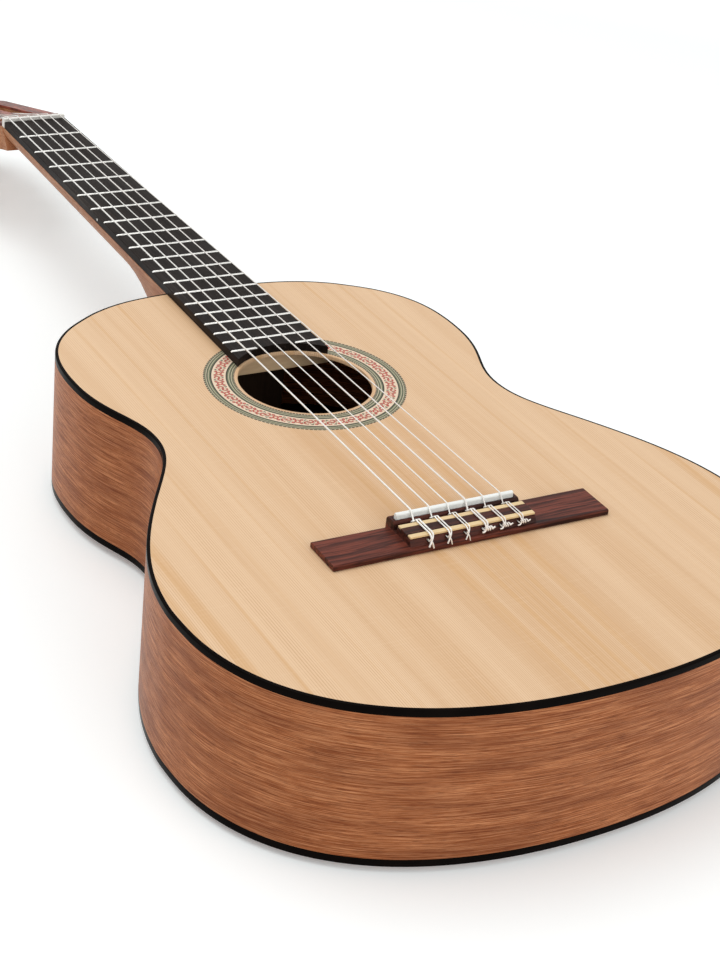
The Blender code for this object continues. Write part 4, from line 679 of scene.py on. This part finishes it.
def make_soundboard():
    """The soundboard, with its hole and the rosette's channel, and the rosette in it."""
    edge = inset_edge(BINDING_WIDTH)
    rows = [(edge, -TOP_THICKNESS), (edge, 0.0)]
    rings = ((ROSETTE_OUTER, 0.0), (ROSETTE_OUTER, -ROSETTE_DEPTH), (ROSETTE_INNER, -ROSETTE_DEPTH),
             (ROSETTE_INNER, 0.0), (HOLE_RADIUS + HOLE_EASE, 0.0),
             (HOLE_RADIUS + HOLE_EASE / 3, -HOLE_EASE / 3), (HOLE_RADIUS, -HOLE_EASE),
             (HOLE_RADIUS, -TOP_THICKNESS))
    for radius, height in rings:
        rows.append((circle_facing(edge, radius), height))
    bm = bmesh.new()
    skin(bm, [[(*p, TOP_Z + height) for p in line] for line, height in rows], loop=True)
    piece("soundboard_plate", bm, SPRUCE, stands_for=["soundboard"])
    bm, steps = bmesh.new(), 180
    turns = [Vector((cos(a), sin(a))) for a in (2 * pi * i / steps for i in range(steps))]
    rows = [(ROSETTE_INNER, -ROSETTE_DEPTH), (ROSETTE_OUTER, -ROSETTE_DEPTH), (ROSETTE_OUTER, 0.0),
            (ROSETTE_INNER, 0.0)]
    skin(bm, [[(*(HOLE.to_2d() + turn * radius), TOP_Z + height) for turn in turns]
              for radius, height in rows], loop=True)
    piece("rosette_ring", bm, MOSAIC, stands_for=["rosette"])


def make_back():
    """The arched back. Its rows run from the flat in the middle, share 0, out to the binding, share 1."""
    edge = inset_edge(BINDING_WIDTH)
    middle = (TAIL_EDGE + NECK_EDGE) / 2
    outer = []
    for share in (0.0, 0.2, 0.4, 0.6, 0.8, 1.0):
        across = FLAT_ACROSS + (1 - FLAT_ACROSS) * share
        along = FLAT_ALONG + (1 - FLAT_ALONG) * share
        outer.append([Vector((p.x * across, middle + (p.y - middle) * along,
                              (TOP_Z - side_depth(p.y)) * share**2)) for p in edge])
    bm = bmesh.new()
    inner = [[p + Vector((0, 0, BACK_THICKNESS)) for p in row] for row in reversed(outer)]
    skin(bm, outer + inner)
    piece("back_plate", bm, BACK_WOOD, stands_for=["back_panel"])


# Fingerboard and frets


def at(x, y, z):
    """A place measured from the saddle line and the soundboard's face."""
    return Vector((x, SADDLE_Y + y, TOP_Z + z))


def board_half(y):
    """Half width of the fingerboard at a distance from the saddle."""
    low, high = BOARD_LOW.y - SADDLE_Y, SCALE_LENGTH
    share = (y - low) / (high - low)
    return BOARD_HIGH.x * (1 - share) + NUT_HIGH.x * share


def arc_radius(x):
    """From the hole's centre to the board's end, which comes closest to the hole in its middle."""
    near, far = BOARD_ARC_CLEARANCE
    return HOLE_RADIUS + near + (far - near) * (x / BOARD_HIGH.x) ** 2


def make_board():
    """The fingerboard, its end cut to an arc round the soundhole."""
    half, steps = BOARD_HIGH.x - BOARD_INSET, 48
    arc = [half * (1 - 2 * k / steps) for k in range(steps + 1)]
    outline = [(x, HOLE.y - SADDLE_Y + sqrt(arc_radius(x) ** 2 - x**2)) for x in arc]
    outline += [(-NUT_HIGH.x, SCALE_LENGTH - 2 * SEAT), (NUT_HIGH.x, SCALE_LENGTH - 2 * SEAT)]
    top = BOARD_TOP - TOP_Z
    levels = (BOARD_LOW.z - TOP_Z, 0.0), (top - BOARD_EASE, 0.0), (top, BOARD_ROUND)
    bm = bmesh.new()
    skin(bm, [[at(x * (1 - shrink), y, z) for x, y in outline] for z, shrink in levels])
    piece("fingerboard_plate", bm, BOARD, stands_for=["fingerboard"])


def make_frets():
    """The fret wires. The arc in the board's end splits the last one."""
    round_over, full = FRET_ENDS
    bm = bmesh.new()
    board_top = BOARD_TOP - TOP_Z
    for n in range(1, FRETS + 1):
        y = SCALE_LENGTH * 2 ** (-n / 12)
        half = board_half(y)
        from_hole = y - FRET_WIRE / 2 - (HOLE.y - SADDLE_Y)
        gap = 0
        for _ in range(4):  # the arc's radius depends on the place where the wire meets it
            gap = sqrt(max(arc_radius(gap) ** 2 - from_hole**2, 0))
        stretches = [(-half, -gap), (gap, half)] if gap else [(-half, half)]
        for low, high in stretches:
            rows = []
            for x, share in ((low, 0.25), (low + round_over, 0.55), (low + full, 1), (high - full, 1),
                             (high - round_over, 0.55), (high, 0.25)):
                rows.append([at(x, y + FRET_WIRE / 2 * cos(a),
                                board_top - FRET_FOOT + (FRET_RISE + FRET_FOOT) * sin(a) ** 0.8 * share)
                             for a in (pi * k / 12 for k in range(13))])
            skin(bm, rows)
    piece("fret_wires", bm, FRET_METAL)


def make_side_dots():
    """Small round markers in the fingerboard's bass edge."""
    bm = bmesh.new()
    for fret in DOT_FRETS:
        y = SCALE_LENGTH * (2 ** (-fret / 12) + 2 ** (-(fret - 1) / 12)) / 2
        centre = at(-board_half(y), y, (BOARD_TOP - TOP_Z) * 0.5)
        place = Matrix.Translation(centre) @ Matrix.Rotation(-pi / 2, 4, "Y")
        turned(bm, [(DOT_RADIUS, -0.0006), (DOT_RADIUS, 0.00002), (0.0008, 0.00006)], place, 20)
    piece("side_dots", bm, BONE)


# Strings


def string_x(number, spread):
    """A string's place across the guitar, counted from the treble side."""
    return spread * (0.5 - (number - 1) / 5)


def seat_of(number):
    """A string's side of the head and its post's place from the nut."""
    return (1, number - 1) if number <= 3 else (-1, 6 - number)


def winding_x(number):
    side, place = seat_of(number)
    return side * (SLOT_CENTRE + WINDING_OFFSETS[2 - place])


def make_string(number):
    """From its last turn on the post, over nut and saddle, through the tie block and back round itself. The
    knot's points are set from the string's place, the block's rear and front, and its hole."""
    radius = STRING_DIAMETERS[number - 1] / 2
    side, _ = seat_of(number)
    nut_z = BOARD_TOP - TOP_Z + FRET_CROWN + STRING_OVER_FRETS - (STRING_DIAMETERS[5] / 2 - radius) / 2
    nut_x, x = string_x(number, STRINGS_AT_NUT), string_x(number, STRINGS_AT_SADDLE)
    saddle_z = SADDLE_HIGH.z - TOP_Z + SEAT + radius
    hole, rear, front = TIE_HOLE_HEIGHT, -TIE_REAR, -TIE_FRONT
    finish = finish_of(f"string_{number}")

    centre = POST_AXES[number].copy()
    centre.x = winding_x(number)
    around = WINDING_RADIUS + SEAT + radius
    tilt = HEAD_PLACE.to_3x3()
    last_turn = [centre + tilt @ Vector((side * radius * 2.4 * a / 360, around * sin(radians(a)),
                                         around * cos(radians(a)))) for a in range(300, 0, -15)]
    start = centre + tilt @ Vector((0, 0, around))
    run = [start, at(nut_x, SCALE_LENGTH + NUT_THICKNESS, nut_z), at(nut_x, SCALE_LENGTH, nut_z),
           at(x, 0.0009, saddle_z), at(x, -0.0009, saddle_z - 0.00015), at(x, front, hole + 0.0002),
           at(x, front - 0.004, hole)]

    # Round itself in front of the tie block: a small ring across the string's slope.
    top = TIE_TOP + radius + 0.0002
    slope = atan2(saddle_z - hole, TIE_FRONT)
    ring = 2 * radius + 0.0002
    middle, lift = Vector((x, front + 0.0020, hole + 0.0024)), Vector((0, -sin(slope), cos(slope)))
    wrap = [middle + Vector((cos(a), 0, 0)) * ring + lift * sin(a) * ring
            for a in (radians(v) for v in (60, 120, 180, 240, 300, 350))]
    left, right = x + 0.0004, x + 0.0023
    over = [(x, rear + 0.004, hole), (x, rear - 0.0018, hole), (x + 0.0001, rear - 0.0032, hole + 0.0006),
            (x + 0.0003, rear - 0.0030, hole + 0.0024), (left, rear - 0.0006, top - 0.0001),
            (left, rear + 0.004, top), (left, front - 0.002, top), (left, front + 0.0002, top + 0.0003)]
    back = [(right - 0.0002, front + 0.0003, top + 0.0002), (right, front - 0.002, top),
            (right, rear + 0.004, top), (right - 0.0001, rear - 0.0004, top),
            (right - 0.0004, rear - 0.0018, top - 0.0016)]
    if number > 3:
        end = [(left + 0.0001, rear - 0.0034, hole + 0.0010), (left - 0.0010, rear - 0.0042, hole - 0.0008),
               (left - 0.0016, rear - 0.0044, hole - 0.0022)]
        spare = [(left - 0.0007, rear - 0.0030, hole + 0.0016), (left + 0.0006, rear - 0.0038, hole - 0.0006),
                 (left + 0.0014, rear - 0.0042, hole - 0.0034)]
    else:
        end = [(left + 0.0002 + 0.00024 * k, rear - 0.0028 + 0.0009 * cos(2 * pi * k / 6),
                hole + 0.0010 + 0.0009 * sin(2 * pi * k / 6)) for k in range(16)]
        end += [(left + 0.0046, rear - 0.0034, hole + 0.0012), (left + 0.0056, rear - 0.0036, hole + 0.0018)]
        spare = [(left + 0.0004, rear - 0.0030, hole + 0.0010), (left - 0.0010, rear - 0.0036, hole - 0.0002),
                 (left - 0.0024, rear - 0.0036, hole - 0.0004)]
    knot = [Vector(p) for p in over] + wrap + [Vector(p) for p in back + end]
    bm = bmesh.new()
    tube(bm, last_turn + rounded(run, 0.0012), radius, 12)
    tube(bm, [at(*p) for p in flowing(knot, 4)], radius)
    tube(bm, [at(*p) for p in flowing([Vector(p) for p in spare], 4)], radius)
    piece(f"string_{number}_run", bm, finish, stands_for=[f"string_{number}"])

    # The turns under it, which go round with the post.
    turns = int(2 * WINDING_HALF / (TURN_PITCH * radius))
    steps = 20 * turns
    inner = WINDING_RADIUS - radius
    coil = [centre + tilt @ Vector(((k / steps - 0.5) * turns * TURN_PITCH * radius,
                                    inner * sin(2 * pi * k / 20), inner * cos(2 * pi * k / 20)))
            for k in range(steps + 1)]
    bm = bmesh.new()
    tube(bm, coil, radius, 8)
    piece(f"string_{number}_winding", bm, finish, f"tuner_post_{number}")


# Tuning machines


def make_roller(number):
    """The post: its pin and its pale barrel."""
    low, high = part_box(f"roller_{number}")
    inner, outer = sorted((abs(low.x), abs(high.x)))
    start, end = BARREL_ENDS
    pin, barrel = ROLLER_PIN, ROLLER_RADIUS
    profile = [(pin * 0.9, inner), (pin, inner + 0.0002), (pin, start), (barrel * 0.95, start),
               (barrel, start + 0.0003), (barrel, end - 0.0003), (barrel * 0.95, end), (pin, end),
               (pin, outer)]
    bm = bmesh.new()
    turned(bm, profile, post_place(number), 36)
    piece(f"roller_{number}_barrel", bm, ROLLER, f"tuner_post_{number}", [f"roller_{number}"])


def post_place(number, out=0.0):
    """On the post's axis, with Z pointing out of the head's side."""
    side, _ = seat_of(number)
    return Matrix.Translation((side * out, *POST_AXES[number].yz)) @ Matrix.Rotation(side * pi / 2, 4, "Y")


def screw_head(bm, place, radius, height):
    """A domed screw head with a slot, standing on the place's XY plane."""
    slot = radius * 0.15
    turned(bm, [(radius, 0.0), (radius, height * 0.25), (radius * 0.95, height * 0.45),
                (radius * 0.72, height * 0.5)], place)
    for half in (-1, 1):
        rows = []
        for scale, level in ((1.0, height * 0.45), (0.98, height * 0.75), (0.72, height)):
            reach, row = radius * 0.93 * scale, []
            for a in (k * pi / 14 for k in range(15)):
                out = max(reach * sin(a), slot)
                along = sqrt(max(reach**2 - out**2, 0)) * (1 if a < pi / 2 else -1)
                row.append(place @ Vector((along, half * out, level)))
            rows.append(row)
        skin(bm, rows)


def make_gear_screw(number):
    """The washer and screw that hold the gear on its post."""
    outer = max(abs(corner.x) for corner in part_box(f"roller_{number}"))
    place = post_place(number, outer)
    bm = bmesh.new()
    turned(bm, [(WASHER_RADIUS, -WASHER_THICKNESS), (WASHER_RADIUS, 0.0001), (0.0035, WASHER_THICKNESS)],
           place)
    place = place @ Matrix.Translation((0, 0, WASHER_THICKNESS)) @ Matrix.Rotation(number * 1.1, 4, "Z")
    screw_head(bm, place, *GEAR_SCREW_HEAD)
    piece(f"gear_screw_{number}", bm, NICKEL, f"tuner_post_{number}")


def make_plate_screws():
    """The screws that hold both plates, each with its slot at another angle."""
    bm = bmesh.new()
    for side in (-1, 1):
        for station in PLATE_SCREWS:
            place = HEAD_PLACE @ Matrix.Translation((side * PLATE_FACE, station, -POST_DEPTH))
            place = place @ Matrix.Rotation(side * pi / 2, 4, "Y") @ Matrix.Rotation(station * 400, 4, "Z")
            screw_head(bm, place, *PLATE_SCREW_HEAD)
    piece("plate_screws", bm, NICKEL)


def worm_place(number):
    """On the worm's axis, with Z pointing out of the head's face."""
    return Matrix.Translation(WORM_AXES[number]) @ HEAD_PLACE.to_3x3().to_4x4()


def make_worm(number):
    """The worm's shaft and its thread, cut finer than the CAD's."""
    place = worm_place(number)
    bottom, top = WORM_ENDS
    bm = bmesh.new()
    turned(bm, [(WORM_SHAFT, bottom), (WORM_SHAFT, top - 0.0003), (WORM_SHAFT * 0.8, top)], place, 24)
    steps = 32
    count = int(WORM_TURNS * steps)
    rows = []
    for k in range(count + 1):
        # The thread's middle faces away from the gear, so that a tooth lies in the gap.
        a = 2 * pi * (k - count / 2) / steps - pi / 2
        rise = (k - count / 2) / steps * WORM_LEAD
        crest = WORM_SHAFT + (WORM_CREST - WORM_SHAFT) * min(1, 0.1 + k / 8, 0.1 + (count - k) / 8)
        lower = ((WORM_SHAFT * 0.8, -THREAD_ROOT), (WORM_SHAFT * 1.02, 0.00002 - THREAD_ROOT),
                 (crest - 0.0001, -THREAD_SHOULDER), (crest, -THREAD_TIP))
        section = (*lower, *((radius, -height) for radius, height in reversed(lower)))
        rows.append([place @ Vector((radius * cos(a), radius * sin(a), rise + height))
                     for radius, height in section])
    skin(bm, rows)
    piece(f"worm_{number}_thread", bm, NICKEL, f"tuner_worm_{number}", [f"worm_{number}"])


def make_button(number):
    """A pearly button, a pillow shape on a turned collar, hanging from the worm's shaft."""
    place = worm_place(number) @ Matrix.Scale(-1, 4, (0, 0, 1))
    top, end = -BUTTON_TOP, -BUTTON_END
    collar = ((COLLAR_RADIUS * 0.88, 0.0), (COLLAR_RADIUS, 0.0003), (COLLAR_RADIUS, 0.0009), (0.0024, 0.0014),
              (0.0023, 0.0022), (0.0031, 0.0032), (0.0036, 0.0044))
    bm = bmesh.new()
    turned(bm, [(radius, top + down) for radius, down in collar], place)
    start, rows, rounds = top + BUTTON_NECK, [], 22
    for k in range(1, rounds):
        u = pi * k / rounds
        share = (1 - cos(u)) / 2
        wide = BUTTON_HALF_WIDTH * sin(u) ** 0.40 * (1 - 0.13 * share)
        thick = BUTTON_HALF_THICKNESS * sin(u) ** 0.48 * (1 - 0.18 * share)
        level = start + (end - start) * share
        rows.append([place @ Vector((thick * rounder(cos(a)), wide * rounder(sin(a)), level))
                     for a in (2 * pi * i / 36 for i in range(36))])
    skin(bm, rows)
    piece(f"button_{number}_pearl", bm, PEARL, f"tuner_worm_{number}", [f"button_{number}"], sharp=60)


def rounder(value):
    """A sine or cosine pushed out, so that an oval becomes a rounded oblong."""
    return abs(value) ** 0.8 * (1 if value > 0 else -1)


make_bindings()
make_ribs()
make_soundboard()
make_back()
make_board()
make_frets()
make_side_dots()
make_plate_screws()
for number in range(1, 7):
    make_string(number)
    make_roller(number)
    make_gear_screw(number)
    make_worm(number)
    make_button(number)
for node, width in EDGE_WIDTHS.items():
    softened(node, width)


# Floor, light and camera


def make_floor():
    """White paper that glows a little where it is seen, so that it fades into the background."""
    bpy.ops.mesh.primitive_plane_add(size=FLOOR_SIZE)
    floor = bpy.context.object
    floor.name = "floor"
    floor.location.z = FLOOR_LEVEL
    g = Graph("floor_paper")
    grain = g.noise(g.place((30, 30, 30)), detail=2)
    path = g.add("LightPath").outputs
    seen = g.math("MAXIMUM", path["Is Glossy Ray"], path["Is Transmission Ray"])
    seen = g.math("MAXIMUM", path["Is Camera Ray"], seen)
    paper = g.ramp(grain, [(0.3, (0.80, 0.80, 0.80)), (0.7, (0.82, 0.82, 0.82))])
    away = g.add("VectorMath", {0: g.place((1, 1, 1))}, operation="LENGTH").outputs["Value"]
    lift = g.spread(away, LIFT_FROM, LIFT_TO, FLOOR_LIFT, FAR_LIFT)
    paper = g.mix(seen, paper, (0.955, 1.0, 1.0))
    floor.data.materials.append(g.shade(paper, 0.9, Specular_IOR_Level=0.1, Emission_Color=(1, 1, 1, 1),
                                        Emission_Strength=g.math("MULTIPLY", seen, lift)))


def make_world():
    """White where it is seen, and dimmer as a light."""
    world = bpy.data.worlds.new("studio")
    bpy.context.scene.world = world
    world.use_nodes = True
    tree = world.node_tree
    background = tree.nodes["Background"]
    background.inputs["Color"].default_value = (1, 1, 1, 1)
    path = tree.nodes.new("ShaderNodeLightPath")
    seen = path.outputs["Is Camera Ray"]
    for name in ("Is Glossy Ray", "Is Transmission Ray"):
        either = tree.nodes.new("ShaderNodeMath")
        either.operation = "MAXIMUM"
        tree.links.new(seen, either.inputs[0])
        tree.links.new(path.outputs[name], either.inputs[1])
        seen = either.outputs[0]
    strength = tree.nodes.new("ShaderNodeMapRange")
    strength.inputs[3].default_value, strength.inputs[4].default_value = WORLD_LIGHT, 1.0
    tree.links.new(seen, strength.inputs[0])
    tree.links.new(strength.outputs[0], background.inputs["Strength"])


def make_lights():
    for name, place, size, watts in SOFTBOXES:
        light = bpy.data.lights.new(name, "AREA")
        light.shape, light.size, light.size_y, light.energy = "RECTANGLE", *size, watts
        lamp = bpy.data.objects.new(name, light)
        bpy.context.scene.collection.objects.link(lamp)
        lamp.location = place
        lamp.rotation_euler = (Vector(place) - LIT_POINT).to_track_quat("Z", "Y").to_euler()


def make_camera():
    azimuth, elevation, roll = map(radians, (CAMERA_AZIMUTH, CAMERA_ELEVATION, CAMERA_ROLL))
    back = Vector((sin(azimuth) * cos(elevation), -cos(azimuth) * cos(elevation), sin(elevation)))
    right = (-back).cross(Vector((0, 0, 1))).normalized()
    up = right.cross(-back)
    across, rise = cos(roll) * right + sin(roll) * up, cos(roll) * up - sin(roll) * right
    data = bpy.data.cameras.new("camera")
    data.sensor_width, data.lens = 36, CAMERA_LENS
    data.shift_x, data.shift_y = CAMERA_SHIFT
    data.clip_start, data.clip_end = 0.05, 50
    camera = bpy.data.objects.new("camera", data)
    bpy.context.scene.collection.objects.link(camera)
    camera.matrix_world = Matrix((across, rise, back)).transposed().to_4x4()
    camera.location = CAMERA_PLACE
    bpy.context.scene.camera = camera


make_floor()
make_world()
make_lights()
make_camera()
bpy.context.scene.view_settings.view_transform = "Standard"
